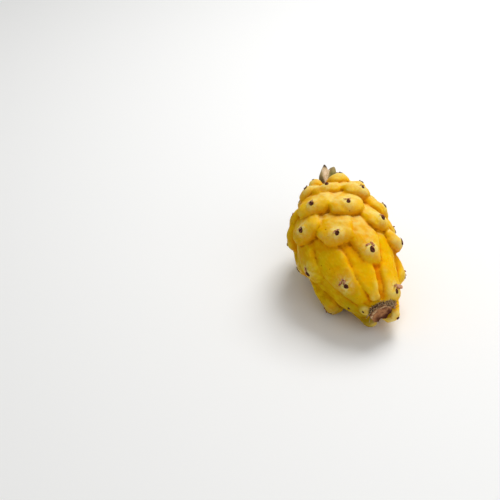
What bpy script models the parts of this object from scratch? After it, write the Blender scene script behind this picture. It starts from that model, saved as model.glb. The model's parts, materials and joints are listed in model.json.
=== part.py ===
"""A yellow dragon fruit lying on its side, with its cut stem and its flower scar.

Everything is worked out in millimetres in the fruit's own frame and scaled to metres as
the meshes are made. In that frame +X runs from the stem end to the flower end and angles
go round the fruit from +Z towards +Y. An empty then lays the fruit down: +Z is up, the
flower end points to +X, and the lowest tubercles stand on Z = 0 on small flats.
"""
import math
import random

import bmesh
import bpy
import numpy as np
from mathutils import Euler, Matrix, Vector
from mathutils.bvhtree import BVHTree

MM = 0.001
CLEARANCE = 0.3
SEED = 7

# Outer form, over the tops of the tubercles
BELLY_AT = 42.0
BELLY_RADIUS = 35.8
STEM_REACH = 44.0
FLOWER_REACH = 76.0
STEM_BLUNTNESS = 0.8
FLOWER_POWER = 1.9
FLOWER_TAPER = 0.9
BEND = 6.7
BEND_AT = 95.6

# Flesh under the tubercles
CORE_RADIUS = 27.0
CORE_STEM_REACH = 37.0
CORE_FLOWER_REACH = 68.0
CORE_SHARE = 0.88
CORE_SIDES = 48

# Tubercles, one every golden angle; each table gives (tubercle's number, value)
NUMBERS = (*range(-20, 30), -21)
TURN = -137.97
START_ANGLE = -9.8
STATION = ((-20, 3.2), (-18, 5.0), (-9, 13.9), (0, 29.8), (9, 45.8), (18, 72.9), (24, 98.0), (29, 105.0))
HALF_WIDTH = (
    (-20, 8.5), (-13, 9.8), (-8, 12.5), (0, 14.5), (8, 13.5), (13, 13), (18, 11), (26, 7.2), (29, 6),
)
HALF_HEIGHT = ((-20, 6.0), (-8, 7.0), (0, 7.8), (13, 8.0), (20, 6.8), (26, 5.0), (29, 4.0))
ROOT_LENGTH = ((-20, 11), (-8, 17), (0, 22), (13, 28), (20, 38), (26, 42), (29, 42))
ROOT_DEPTH = ((-20, 6), (0, 8), (13, 8), (20, 7), (29, 6))
NOSE_LENGTH = ((-20, 5.5), (-8, 6.5), (0, 7.5), (15, 7.5), (18, 11), (22, 12), (25, 5.5), (29, 4.5))
NOSE_HUG = ((-20, 0.25), (14, 0.25), (18, 0.9), (23, 0.9), (25, 0.4), (29, 0.4))
NOSE_WIDTH = ((-20, 0.85), (8, 0.85), (13, 0.74), (18, 0.62), (29, 0.68))
NOSE_SINK = ((-20, 0), (13, 0), (16, 3.5), (18, 6.5), (22, 5.5), (24, 3), (25, 0), (26, 6), (27, 0), (29, 2.5))
NOSE_BLUNTNESS = 0.6
UNEVEN_ANGLE = 3.0
UNEVEN_PLACE = 1.0
UNEVEN_SIZE = 0.06

# Tubercles that stray from the even spiral: number: (mm along, degrees round, mm outwards)
STRAY = {
    -21: (0.5, -10, 0), -18: (0, 0, -6), -16: (0, 1, 1.5), -15: (0, 0, -4), -13: (0, 0, 0),
    -10: (0, 4, -6), -8: (0.7, -3, -1), -5: (-1, -15, -4), -3: (-1.5, 3, 0), -2: (0, 0, -4.5),
    0: (0, -3, 0), 2: (0, 4, 0), 3: (-7, -17, -2), 5: (-0.8, 2, 0), 8: (-2, -2, 0), 10: (1, 5, 0),
    11: (0, 0, -2), 13: (0, 1, 0), 15: (-2, 3, 0.5), 16: (-1, -5, 0), 18: (0, 0, 0),
    19: (4.5, -1, 2), 20: (-3.5, 1, 0), 21: (2.5, -2, 0), 23: (4.5, 3, 0), 24: (-1.5, 8, 0),
    25: (6, 4, 0), 26: (-3, 8, 0), 27: (0.5, -1, 0), 28: (-8, 0, -5), 29: (-2, -3, 0),
}

# Tubercles whose root starts deeper, in millimetres, so that the nose before it stands clear
DEEP_ROOTS = {2: 3, 3: 6, 7: 4, 8: 3, 10: 3, 11: 5, 15: 5, 20: 6}

# Areoles that sit off the middle of their tubercle: number: (mm along, degrees round)
AREOLE_STRAY = {-5: (0, -16), 3: (0, -16), 26: (7, 0)}

# Rings of one tubercle, root first: (share of the root's length, width, height, depth)
ROOT_RINGS = (
    (0.0, 0.45, 0.60, 1.00), (0.12, 0.57, 0.70, 0.87), (0.26, 0.75, 0.81, 0.70),
    (0.42, 0.90, 0.91, 0.53), (0.58, 1.00, 1.00, 0.38), (0.72, 0.95, 0.98, 0.22),
    (0.85, 0.88, 0.92, 0.09), (0.95, 0.80, 0.85, 0.02), (1.0, 0.75, 0.80, 0.0),
)
NOSE_ANGLES = (25, 50, 70, 82)
RING_SIDES = 20
FULLNESS = 0.85

# Skin
SKIN_VOXEL = 0.8
SMOOTHING = 4
SKIN_TRIANGLES = 6800

# Areole pads, and the scrap of dried bract behind each
AREOLE_RADIUS = 1.35
AREOLE_RISE = 0.5
AREOLE_SIDES = 7
BRACT_LENGTH = 3.6
BRACT_WIDTH = 1.6
BRACT_RISE = 0.45
BRACT_SETBACK = 4.4
BRACT_SKEW = 25.0
SUNK = 1.2

# Cut stem: a three-winged piece in a round socket. Each wing is (degrees round, mm out, mm up), and
# each ring is (share of the length, share of the wings, taper, share of the wings' rise)
STEM_FOOT = Vector((6.0, 2.0, 1.0))
STEM_LEAN = 30.0
STEM_LEAN_TOWARDS = 68.0
STEM_LENGTH = 24.0
STEM_NECK = 4.4
STEM_WAIST = 2.4
STEM_WINGS = ((42, 4.8, 7.0), (196, 4.4, 2.5), (305, 3.4, 3.0))
STEM_WING_SPREAD = 62
STEM_SIDES = 24
STEM_RINGS = (
    (0, 0, 1, 0), (0.2, 0, 1, 0), (0.34, 0.8, 1, 0), (0.5, 1, 1, 0.4), (0.6, 1, 0.88, 0.75), (0.7, 1, 0.72, 1),
)
STEM_HEART = 0.98
STEM_NOTCH = 3.0
STEM_SPREAD = 6.5
ROUND_CLEARANCE = 1.2 * CLEARANCE

# Flower scar: a dried disc with a raised ragged rim
SCAR_AT = 100.5
SCAR_SHIFT = Vector((0, 0.2, 1.8))
SCAR_RADIUS = 6.9
SCAR_HEIGHT = 4.4
SCAR_PROFILE = ((0.9, 0), (1, 0.3), (1, 0.7), (0.93, 1), (0.78, 0.97), (0.66, 0.75), (0.3, 0.8))
SCAR_RIM_FROM = 0.8
SCAR_HEART = 0.7
SCAR_SIDES = 28
SCAR_RAGGED = 0.35
WELL_FLARE = 3.2
WELL_HEIGHT = 20.0

# How the fruit lies
ROLL = 16.2
TIP = 17.2
FLAT_DEPTH = 1.2
SLAB_SIZE = 200.0

SHARP_OVER = 45
SKIN_YELLOW = (0.78, 0.46, 0.02)
STEM_GREEN = (0.20, 0.19, 0.08)
SCAR_BROWN = (0.16, 0.08, 0.04)


def clear_scene():
    for thing in list(bpy.data.objects):
        bpy.data.objects.remove(thing)


def material(name, colour, roughness):
    made = bpy.data.materials.new(name)
    made.use_nodes = True
    shader = made.node_tree.nodes["Principled BSDF"]
    shader.inputs["Base Color"].default_value = (*colour, 1)
    shader.inputs["Roughness"].default_value = roughness
    shader.inputs["Metallic"].default_value = 0.0
    return made


def read(table, number):
    places, values = zip(*table)
    return float(np.interp(number, places, values))


def station(number):
    """How far along the axis a tubercle sits, averaged so that the rows close up evenly."""
    return sum(read(STATION, number + shift) for shift in (-1.5, -0.5, 0.5, 1.5)) / 4


def outline(radius, stem_reach, flower_reach, share=1.0, steps=150):
    """Half outline, (along, out), from the blunt stem end to the tapered flower end."""
    quarter = np.linspace(0, math.pi / 2, steps)
    stem = [
        (BELLY_AT - stem_reach * math.cos(a) ** STEM_BLUNTNESS, radius * math.sin(a) ** STEM_BLUNTNESS)
        for a in quarter
    ]
    run = np.linspace(0, share, steps)[1:]
    flower = [
        (BELLY_AT + flower_reach * x, radius * (1 - x ** FLOWER_POWER) ** FLOWER_TAPER) for x in run
    ]
    return np.array(stem + flower)


OUTER = outline(BELLY_RADIUS, STEM_REACH, FLOWER_REACH)
ARC = np.concatenate(([0], np.cumsum(np.hypot(*np.diff(OUTER, axis=0).T))))


def arc_at(along):
    return float(np.interp(along, OUTER[:, 0], ARC))


def on_outline(arc):
    """Point, forward direction and outward direction of the outer outline at a length along it."""
    reach = 0.5
    ahead, here, behind = (
        Vector((np.interp(arc + step, ARC, OUTER[:, 0]), np.interp(arc + step, ARC, OUTER[:, 1])))
        for step in (reach, 0, -reach)
    )
    forward = (ahead - behind).normalized()
    return here, forward, Vector((-forward.y, forward.x))


def bent(point):
    """The fruit's axis bows a little to one side towards the flower end."""
    return point + Vector((0, BEND * (max(point.x, 0) / BEND_AT) ** 2, 0))


def turned(point, angle):
    """A point or direction (along, out) of the outline, turned round the axis."""
    return Vector((point.x, point.y * math.sin(angle), point.y * math.cos(angle)))


def add_ring(mesh, centre, across, out, half_width, half_height, capped):
    """One ring of a tubercle, a little fuller than an ellipse; returns its edges."""
    made = bmesh.ops.create_circle(mesh, cap_ends=capped, segments=RING_SIDES, radius=1)
    for vert in made["verts"]:
        wide, high = (math.copysign(abs(part) ** FULLNESS, part) for part in vert.co.xy)
        vert.co = centre + across * half_width * wide + out * half_height * high
    return {edge for vert in made["verts"] for edge in vert.link_edges}


def tubercle(number, draw):
    """Rings of one tubercle from its root to its nose, and its areole's place and direction."""
    arc = arc_at(station(number))
    angle = math.radians(START_ANGLE + TURN * number)
    uneven = draw.uniform(-UNEVEN_PLACE, UNEVEN_PLACE), draw.uniform(-UNEVEN_ANGLE, UNEVEN_ANGLE), 0
    along, round_, rise = STRAY.get(number, uneven)
    arc, angle = arc + along, angle + math.radians(round_)
    size = [1 + draw.uniform(-UNEVEN_SIZE, UNEVEN_SIZE) for _ in range(3)]
    width = read(HALF_WIDTH, number) * size[0]
    height = read(HALF_HEIGHT, number) * size[1]
    root = read(ROOT_LENGTH, number) * size[2]
    depth = read(ROOT_DEPTH, number) + DEEP_ROOTS.get(number, 0)
    nose, hug, sink = (read(table, number) for table in (NOSE_LENGTH, NOSE_HUG, NOSE_SINK))
    narrowing = read(NOSE_WIDTH, number) / ROOT_RINGS[-1][1]
    across = turned(Vector((0, 1)), angle + math.pi / 2)

    rings = []
    for share, wide, high, deep in ROOT_RINGS:
        here, forward, out = on_outline(max(arc - root * (1 - share), 0.5))
        narrow = 1 + (narrowing - 1) * share ** 4
        centre = here - out * (depth * deep + height * high - rise)
        rings.append((centre, forward, out, width * wide * narrow, height * high))
    centre, forward, out, wide, high = rings[-1]
    onwards, aside = AREOLE_STRAY.get(number, (0, 0))
    looks = angle + math.radians(aside)
    areole = turned(here + forward * (0.5 + onwards) + out * rise, looks), turned(out, looks)
    for turn in NOSE_ANGLES:
        lean = math.radians(turn)
        slim = math.cos(lean) ** NOSE_BLUNTNESS
        straight = centre + forward * nose * math.sin(lean)
        there, _, facing = on_outline(arc + nose * math.sin(lean))
        hugging = there - facing * (high - rise + sink * (1 - math.cos(lean)))
        rings.append((straight.lerp(hugging, hug), forward, out, wide * slim, high * slim))

    mesh = bmesh.new()
    before = None
    for index, (centre, forward, out, wide, high) in enumerate(rings):
        capped = index in (0, len(rings) - 1)
        edges = add_ring(mesh, turned(centre, angle), across, turned(out, angle), wide, high, capped)
        if before:
            bmesh.ops.bridge_loops(mesh, edges=list(before | edges))
        before = edges
    return mesh, areole


def core():
    """The egg of flesh that the tubercles grow from."""
    points = outline(CORE_RADIUS, CORE_STEM_REACH, CORE_FLOWER_REACH, CORE_SHARE, 24)
    mesh = bmesh.new()
    verts = [mesh.verts.new((along, 0, out)) for along, out in points]
    verts.append(mesh.verts.new((points[-1][0], 0, 0)))
    edges = [mesh.edges.new(pair) for pair in zip(verts, verts[1:])]
    bmesh.ops.spin(
        mesh, geom=verts + edges, cent=(0, 0, 0), axis=(1, 0, 0), angle=math.tau, steps=CORE_SIDES
    )
    bmesh.ops.remove_doubles(mesh, verts=mesh.verts, dist=0.001)
    return mesh


def finished(mesh, name, finish):
    """Turn a millimetre bmesh into an object in metres."""
    bmesh.ops.recalc_face_normals(mesh, faces=mesh.faces)
    bmesh.ops.scale(mesh, vec=(MM, MM, MM), verts=mesh.verts)
    data = bpy.data.meshes.new(name)
    mesh.to_mesh(data)
    mesh.free()
    if finish:
        data.materials.append(finish)
    made = bpy.data.objects.new(name, data)
    bpy.context.scene.collection.objects.link(made)
    return made


def apply_modifiers(thing):
    bpy.context.view_layer.update()
    graph = bpy.context.evaluated_depsgraph_get()
    data = bpy.data.meshes.new_from_object(thing.evaluated_get(graph))
    thing.modifiers.clear()
    thing.data = data


def skin(finish, draw):
    """Core and tubercles fused in one closed skin, and where its areoles are."""
    whole = bmesh.new()
    areoles = []
    pieces = [core()]
    for number in NUMBERS:
        piece, areole = tubercle(number, draw)
        pieces.append(piece)
        areoles.append(areole)
    for piece in pieces:
        bmesh.ops.recalc_face_normals(piece, faces=piece.faces)
        part = bpy.data.meshes.new("part")
        piece.to_mesh(part)
        piece.free()
        whole.from_mesh(part)
        bpy.data.meshes.remove(part)
    for vert in whole.verts:
        vert.co = bent(vert.co)
    fruit = finished(whole, "fruit", finish)
    remesh = fruit.modifiers.new("fuse", "REMESH")
    remesh.mode = "VOXEL"
    remesh.voxel_size = SKIN_VOXEL * MM
    smooth = fruit.modifiers.new("smooth", "SMOOTH")
    smooth.factor, smooth.iterations = 0.5, SMOOTHING
    apply_modifiers(fruit)
    fewer = fruit.modifiers.new("fewer", "DECIMATE")
    fewer.ratio = SKIN_TRIANGLES / (2 * len(fruit.data.polygons))
    apply_modifiers(fruit)
    return fruit, areoles


def drop(tree, point, out):
    """Where a line dropped inwards from above a point meets the skin, and the normal there."""
    hit, normal, _, _ = tree.ray_cast((point + out * 15) * MM, -out)
    return hit / MM, normal


def pad(centre, normal):
    """A low round cushion, sunk into the skin."""
    mesh = bmesh.new()
    place = Matrix.Translation(centre + normal * (AREOLE_RISE - SUNK) / 2)
    place = place @ normal.to_track_quat("Z", "Y").to_matrix().to_4x4()
    bmesh.ops.create_cone(
        mesh, cap_ends=True, segments=AREOLE_SIDES, radius1=AREOLE_RADIUS * 1.3,
        radius2=AREOLE_RADIUS * 0.75, depth=AREOLE_RISE + SUNK, matrix=place,
    )
    return mesh


def scrap(root, normal, lie):
    """A thin three-sided sliver that lies along the skin, wide at its root."""
    mesh = bmesh.new()
    aside = normal.cross(lie).normalized() * BRACT_WIDTH / 2
    foot, tip = root - lie * BRACT_LENGTH / 2, root + lie * BRACT_LENGTH / 2
    for end in (foot + aside, foot - aside, tip):
        mesh.verts.new(end + normal * BRACT_RISE)
        mesh.verts.new(end - normal * SUNK)
    bmesh.ops.convex_hull(mesh, input=mesh.verts)
    return mesh


def areole_relief(fruit, areoles, draw):
    """A pad and a bract scrap on every tubercle, united with the skin."""
    shape = bmesh.new()
    shape.from_mesh(fruit.data)
    tree = BVHTree.FromBMesh(shape)
    shape.free()
    relief = bpy.data.collections.new("relief")
    for index, (place, out) in enumerate(areoles):
        centre, normal = drop(tree, bent(place), out)
        back = (Vector((-1, 0, 0)) - normal * -normal.x).normalized()
        root, above = drop(tree, centre + back * BRACT_SETBACK, out)
        lie = Matrix.Rotation(math.radians(draw.uniform(-BRACT_SKEW, BRACT_SKEW)), 3, above) @ back
        for kind, piece in (("pad", pad(centre, normal)), ("bract", scrap(root, above, lie))):
            relief.objects.link(finished(piece, f"{kind}_{index:02d}", fruit.data.materials[0]))
    unite = fruit.modifiers.new("relief", "BOOLEAN")
    unite.operation, unite.operand_type, unite.collection = "UNION", "COLLECTION", relief
    apply_modifiers(fruit)
    for thing in list(relief.objects):
        bpy.data.objects.remove(thing)
    bpy.data.collections.remove(relief)


def stem_direction():
    lean, towards = math.radians(STEM_LEAN), math.radians(STEM_LEAN_TOWARDS)
    side = Vector((0, math.sin(towards), math.cos(towards)))
    return Vector((-math.cos(lean), 0, 0)) + side * math.sin(lean)


def close_rings(mesh, rings, top):
    """Skin a stack of rings of verts: a flat face below, a fan to the top point above."""
    before = None
    for ring in rings:
        edges = [mesh.edges.new(pair) for pair in zip(ring, ring[1:] + ring[:1])]
        if before:
            bmesh.ops.bridge_loops(mesh, edges=before + edges)
        before = edges
    mesh.faces.new(rings[0])
    middle = mesh.verts.new(top)
    for edge in before:
        mesh.faces.new((*edge.verts, middle))


def stem_spot(angle, ring, inwards=0.0):
    """A place on the stem: round it, on one of its rings, and a share of the way in from there."""
    share, winged, taper, at_cut = ring
    spread, rises = STEM_WAIST, []
    for towards, length, rise in STEM_WINGS:
        off = (math.degrees(angle) - towards + 180) % 360 - 180
        wing = math.cos(math.radians(min(abs(off) * 90 / STEM_WING_SPREAD, 90))) ** 2
        spread += length * wing
        rises.append((wing, rise * wing * at_cut))
    reach = (STEM_NECK + winged * (spread * taper - STEM_NECK)) * (1 - inwards)
    height = STEM_LENGTH * share + sum(rise for _, rise in rises)
    height += (STEM_LENGTH * STEM_HEART - height) * inwards
    height -= STEM_NOTCH * rises[0][0] * math.sin(math.pi * inwards)
    return Vector((reach * math.cos(angle), reach * math.sin(angle), height))


def stem_stub(finish):
    """The cut stem: round where it enters the fruit, three-winged above, torn to two prongs."""
    up = stem_direction()
    place = Matrix.Translation(STEM_FOOT) @ up.to_track_quat("Z", "Y").to_matrix().to_4x4()
    mesh = bmesh.new()
    angles = [math.tau * side / STEM_SIDES for side in range(STEM_SIDES)]
    rings = [[mesh.verts.new(place @ stem_spot(angle, ring)) for angle in angles] for ring in STEM_RINGS]
    rings.append([mesh.verts.new(place @ stem_spot(angle, STEM_RINGS[-1], 0.5)) for angle in angles])
    close_rings(mesh, rings, place @ Vector((0, 0, STEM_LENGTH * STEM_HEART)))
    return finished(mesh, "stem_stub", finish)


def flower_scar(finish, draw):
    """The dried disc that the flower fell from: a shallow dish with a raised ragged rim."""
    place = scar_place()
    mesh = bmesh.new()
    rings = []
    for out, level in SCAR_PROFILE:
        ring = []
        for side in range(SCAR_SIDES):
            angle = math.tau * side / SCAR_SIDES
            ragged = draw.uniform(-SCAR_RAGGED, SCAR_RAGGED) if level > SCAR_RIM_FROM else 0
            spot = Vector((math.cos(angle), math.sin(angle), 0)) * SCAR_RADIUS * out
            spot.z = SCAR_HEIGHT * level + ragged
            ring.append(mesh.verts.new(place @ spot))
        rings.append(ring)
    close_rings(mesh, rings, place @ Vector((0, 0, SCAR_HEIGHT * SCAR_HEART)))
    return finished(mesh, "flower_scar", finish)


def scar_place():
    """The scar faces along the bent axis, its underside at the bottom of the well."""
    forward = (bent(Vector((SCAR_AT + 1, 0, 0))) - bent(Vector((SCAR_AT - 1, 0, 0)))).normalized()
    place = Matrix.Translation(bent(Vector((SCAR_AT, 0, 0))) + SCAR_SHIFT)
    return place @ forward.to_track_quat("Z", "Y").to_matrix().to_4x4()


def cutter(mesh, name):
    made = finished(mesh, name, None)
    made.hide_render = True
    made.display_type = "WIRE"
    return made


def cut(body, tool):
    trim = body.modifiers.new(tool.name, "BOOLEAN")
    trim.operation, trim.object = "DIFFERENCE", tool
    apply_modifiers(body)
    bpy.data.objects.remove(tool)


def sockets(fruit):
    """A round hole for the stem and a flaring well for the scar, each with its clearance."""
    hole = bmesh.new()
    up = stem_direction()
    low = STEM_FOOT - up * CLEARANCE
    length = STEM_LENGTH
    place = Matrix.Translation(low + up * length / 2) @ up.to_track_quat("Z", "Y").to_matrix().to_4x4()
    bmesh.ops.create_cone(
        hole, cap_ends=True, segments=STEM_SIDES, radius1=STEM_NECK + ROUND_CLEARANCE,
        radius2=STEM_NECK + STEM_SPREAD, depth=length, matrix=place,
    )
    cut(fruit, cutter(hole, "stem_socket"))
    well = bmesh.new()
    place = scar_place() @ Matrix.Translation((0, 0, WELL_HEIGHT / 2 - CLEARANCE))
    bmesh.ops.create_cone(
        well, cap_ends=True, segments=SCAR_SIDES, radius1=SCAR_RADIUS + ROUND_CLEARANCE,
        radius2=SCAR_RADIUS + WELL_FLARE, depth=WELL_HEIGHT, matrix=place,
    )
    cut(fruit, cutter(well, "scar_well"))


def extent(things):
    """Lowest and highest corner of the box round the things."""
    spots = [thing.matrix_world @ vert.co for thing in things for vert in thing.data.vertices]
    return (Vector(pick(spot[axis] for spot in spots) for axis in range(3)) for pick in (min, max))


def lay_down(things):
    """Tip and roll the fruit to where it settles, cut its small flats and centre it."""
    rest = bpy.data.objects.new("rest", None)
    bpy.context.scene.collection.objects.link(rest)
    rest.rotation_euler = Euler((math.radians(ROLL), math.radians(TIP), 0))
    for thing in things:
        thing.parent = rest
    bpy.context.view_layer.update()
    low, high = extent(things)
    middle = (low + high) / 2
    rest.location = (-middle.x, -middle.y, -low.z - FLAT_DEPTH * MM)
    bpy.context.view_layer.update()
    slab = bmesh.new()
    bmesh.ops.create_cube(slab, size=SLAB_SIZE, matrix=Matrix.Translation((0, 0, -SLAB_SIZE / 2)))
    cut(things[0], cutter(slab, "ground"))


def main():
    clear_scene()
    draw = random.Random(SEED)
    yellow = material("yellow skin", SKIN_YELLOW, 0.42)
    fruit, areoles = skin(yellow, draw)
    areole_relief(fruit, areoles, draw)
    sockets(fruit)
    stem = stem_stub(material("cut green stem", STEM_GREEN, 0.75))
    scar = flower_scar(material("dried flower scar", SCAR_BROWN, 0.85), draw)
    lay_down([fruit, stem, scar])
    for thing in (fruit, stem, scar):
        thing.data.shade_smooth()
        thing.data.set_sharp_from_angle(angle=math.radians(SHARP_OVER))


main()
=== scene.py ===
"""Dresses a yellow dragon fruit: knobbly skin, areole pads, dried bracts, cut stem and flower scar.

The fruit's own frame is in millimetres: +X runs from the stem end to the flower end, and angles
go round it from +Z towards +Y. Every piece is shaped there and then laid down as the part lies.
"""
import json
import math
import random

import bpy
import numpy as np
from bpy.props import FloatProperty, FloatVectorProperty, IntProperty, PointerProperty
from mathutils import Euler, Matrix, Vector, noise
from mathutils.bvhtree import BVHTree

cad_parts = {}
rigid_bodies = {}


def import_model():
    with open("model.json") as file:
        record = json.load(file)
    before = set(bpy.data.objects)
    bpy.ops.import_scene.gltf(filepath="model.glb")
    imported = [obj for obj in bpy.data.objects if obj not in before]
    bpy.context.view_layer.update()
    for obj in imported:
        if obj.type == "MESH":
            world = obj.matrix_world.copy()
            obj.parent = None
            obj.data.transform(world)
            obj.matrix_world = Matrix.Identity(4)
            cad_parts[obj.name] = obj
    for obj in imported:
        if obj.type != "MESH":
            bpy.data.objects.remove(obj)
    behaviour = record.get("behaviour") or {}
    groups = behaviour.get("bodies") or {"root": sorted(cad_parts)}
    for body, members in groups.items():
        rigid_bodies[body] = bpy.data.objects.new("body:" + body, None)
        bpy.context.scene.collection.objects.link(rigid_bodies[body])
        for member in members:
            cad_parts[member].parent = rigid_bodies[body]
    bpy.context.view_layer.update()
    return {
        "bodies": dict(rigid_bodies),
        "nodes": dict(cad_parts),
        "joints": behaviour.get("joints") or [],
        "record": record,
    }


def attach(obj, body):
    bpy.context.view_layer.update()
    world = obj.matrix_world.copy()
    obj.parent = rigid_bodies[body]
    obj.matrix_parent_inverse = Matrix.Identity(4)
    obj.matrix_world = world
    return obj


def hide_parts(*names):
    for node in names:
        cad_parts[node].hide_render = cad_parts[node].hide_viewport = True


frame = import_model()

bl_info = {
    "name": "Yellow dragon fruit",
    "version": (1, 0, 0),
    "blender": (4, 5, 0),
    "location": "View3D > Sidebar > Fruit",
    "description": "Skin, areoles, dried bracts, cut stem and flower scar of a yellow dragon fruit",
    "category": "Add Mesh",
}

MM = 0.001
BODY = "root"
SEED = 7

# How the fruit lies: roll and tip in degrees, and where the stem end of its axis is
ROLL = 16.2
TIP = 17.2
STEM_END = (-45.595, -2.599, 46.442)

# Outer form, over the tops of the tubercles
BELLY_AT = 42.0
BELLY_RADIUS = 35.8
STEM_REACH = 44.0
FLOWER_REACH = 76.0
STEM_BLUNTNESS = 0.8
FLOWER_POWER = 1.9
FLOWER_TAPER = 0.9
BEND = 6.7
BEND_AT = 95.6
OUTLINE_STEPS = 150

# Flesh under the tubercles; past the belly it is fuller, from and until these places
CORE_RADIUS = 27.0
CORE_STEM_REACH = 37.0
CORE_FLOWER_REACH = 68.0
CORE_SHARE = 0.88
CORE_SIDES = 64
CORE_RINGS = 48
CORE_FULLER = 3.4
CORE_FULLER_FROM = (BELLY_AT, BELLY_AT + 14)
CORE_FULLER_UNTIL = (94, 106)

# Tubercles, one every golden angle; each table gives (tubercle's number, value)
NUMBERS = (*range(-20, 30), -21)
TURN = -137.97
START_ANGLE = -9.8
STATION = ((-20, 3.2), (-18, 5.0), (-9, 13.9), (0, 29.8), (9, 45.8), (18, 72.9), (24, 98.0), (29, 105.0))
HALF_WIDTH = (
    (-21, 5.6), (-20, 8.5), (-16, 8.1), (-13, 9.4), (-8, 11.4), (-3, 11.0), (-1, 14.3), (0, 14.5), (8, 13.5),
    (13, 13.0), (18, 11.6), (21, 10.8), (26, 8.6), (27, 6.8), (29, 5.0),
)
HALF_HEIGHT = ((-20, 6.0), (-8, 7.0), (0, 7.8), (13, 8.0), (20, 6.8), (26, 5.0), (29, 4.0))
ROOT_LENGTH = ((-20, 11), (-8, 17), (0, 22), (13, 28), (20, 38), (26, 42), (29, 42))
ROOT_DEPTH = ((-20, 6), (0, 8), (13, 8), (20, 7), (29, 6))
NOSE_LENGTH = (
    (-20, 5.5), (-8, 6.5), (0, 7.5), (14, 7.5), (15, 5.0), (16, 9.3), (18, 13), (19, 4.5), (20, 12), (21, 18),
    (22, 14), (25, 5.5), (29, 4.5),
)
NOSE_HUG = ((-20, 0.25), (14, 0.25), (18, 0.9), (23, 0.9), (25, 0.4), (29, 0.4))
NOSE_WIDTH = (
    (-20, 0.85), (8, 0.85), (13, 0.74), (18, 0.62), (25, 0.66), (26, 0.40), (27, 0.5), (28, 0.66), (29, 0.68),
)
NOSE_SINK = (
    (-20, 0), (13, 0), (16, 3.5), (18, 6.5), (22, 5.5), (24, 3), (25, 0), (26, 6), (27, 0), (29, 2.5),
)
NOSE_BLUNTNESS = 0.6
UNEVEN_ANGLE = 3.0
UNEVEN_PLACE = 1.0
UNEVEN_SIZE = 0.06

# Tubercles set one by one, off the even spiral or, with three zeros, right on it; all others stray by
# chance: number: (mm along, degrees round, mm outwards)
STRAY = {
    -21: (0.5, -10, 0), -18: (0, 0, -6), -16: (0, 1, 1.5), -15: (0, 0, -4), -13: (0, 0, -1.3),
    -10: (0, 4, -6), -8: (0.7, -3, -1), -5: (-1, -15, -4), -3: (-1.5, 3, 1.2), -2: (0, 0, -4.5),
    0: (0, -3, 0), 2: (0, 4, 0), 3: (-7, -17, -2), 5: (-0.8, 2, 0), 8: (-2, -2, 0), 10: (1, 5, 0),
    11: (0, 0, -2), 13: (0, 1, 0), 15: (-2, 3, 0.5), 16: (-1, -5, 0), 18: (0, 0, 0),
    19: (4.5, -1, 3.2), 20: (-3.5, 1, 0), 21: (2.5, -2, 0), 23: (4.5, 3, -0.8), 24: (-1.5, 8, -3),
    25: (6, 4, 0), 26: (-3, 2, 0), 27: (0.5, -1, 0), 28: (-8, 0, -5), 29: (-2, -3, -3.2),
}

# Tubercles whose root starts deeper, in millimetres, so that the nose before it stands clear
DEEP_ROOTS = {2: 3, 3: 6, 7: 4, 8: 3, 10: 3, 11: 5, 15: 5, 19: 6, 20: 9, 27: 8}

# Areoles that sit off the middle of their tubercle: number: (mm along, degrees round)
AREOLE_STRAY = {-5: (0, -26), -3: (2.8, 0), 3: (0, -26), 25: (3.5, -16), 26: (7, 4)}
AREOLE_AHEAD = 0.5

# Tubercles whose tip is rusty
RUSTY = (19, 27)

# Rings of one tubercle, root first: (share of the root's length, width, height, depth)
ROOT_RINGS = (
    (0.0, 0.45, 0.60, 1.00), (0.12, 0.57, 0.70, 0.87), (0.26, 0.75, 0.81, 0.70),
    (0.42, 0.90, 0.91, 0.53), (0.58, 1.00, 1.00, 0.38), (0.72, 0.95, 0.98, 0.22),
    (0.85, 0.88, 0.92, 0.09), (0.95, 0.80, 0.85, 0.02), (1.0, 0.75, 0.80, 0.0),
)

# A root's earliest start along the outline, the rounding of its rings, and the power that narrows it
ROOT_START = 0.5
ROOT_ROUNDING = 0.04
ROOT_NARROWS = 4

# Rings of root and nose, degrees that the last ring leans over, and points of a ring
ROOT_STEPS = 15
NOSE_STEPS = 8
NOSE_END = 84
RING_SIDES = 40

# How full a tubercle's rings are: at 1 they are oval, below it squarer
FULLNESS = ((-20, 0.85), (15, 0.85), (18, 0.8), (19, 0.6), (26, 0.6), (29, 0.7))

# Cut stem, in its own frame with +Z up the stem
STEM_FOOT = (6.0, 2.0, 1.0)
STEM_LEAN = 30.0
STEM_LEAN_TOWARDS = 68.0
STEM_LENGTH = 24.0
STEM_NECK = 4.4
STEM_WAIST = 2.4
STEM_SIDES = 72
STEM_RINGS_UP = 30
STEM_RINGS_IN = 9

# Wings of the stem, the tallest first: (degrees round it, length, rise of its peak, how sharply it tapers)
STEM_WINGS = ((54, 5.6, 7.0, 1), (146, 2.6, 6.6, 1), (200, 4.6, 0.4, 1.6), (305, 3.0, 3.0, 1))
STEM_WING_SPREAD = 62

# Rings up the stem: (share of its length, share of the wings, taper, share of the peaks)
STEM_RINGS = (
    (0, 0, 1, 0), (0.2, 0, 1, 0), (0.34, 0.8, 1, 0), (0.5, 1, 1, 0.4), (0.6, 1, 0.88, 0.75),
    (0.7, 1, 0.72, 1),
)

# Its cut face: height of the heart as a share of the length, notch below the tallest peak, share covered
STEM_HEART = 0.98
STEM_NOTCH = 3.0
STEM_FACE_REACH = 0.97

# Marks on the stem, in degrees round it, millimetres up it, or shares of the way into its face; the top
# is the height that its finish reads as 1
STEM_BARE = (42, 98)
STEM_BARE_EDGE = 4
STEM_BARE_SLANT = 3.0
STEM_BARE_HEIGHT = (9, 11)
STEM_FACE_BARE = 0.35
STEM_FACE_BARE_IN = (0.3, 0.6)
STEM_CHARRED_HEIGHT = (20.6, 22.0)
STEM_CHARRED_WING = (0.2, 0.7)
STEM_SHADED_FROM = (100, 140)
STEM_SHADED_UNTIL = (260, 300)
STEM_TOP = 1.02

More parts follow.
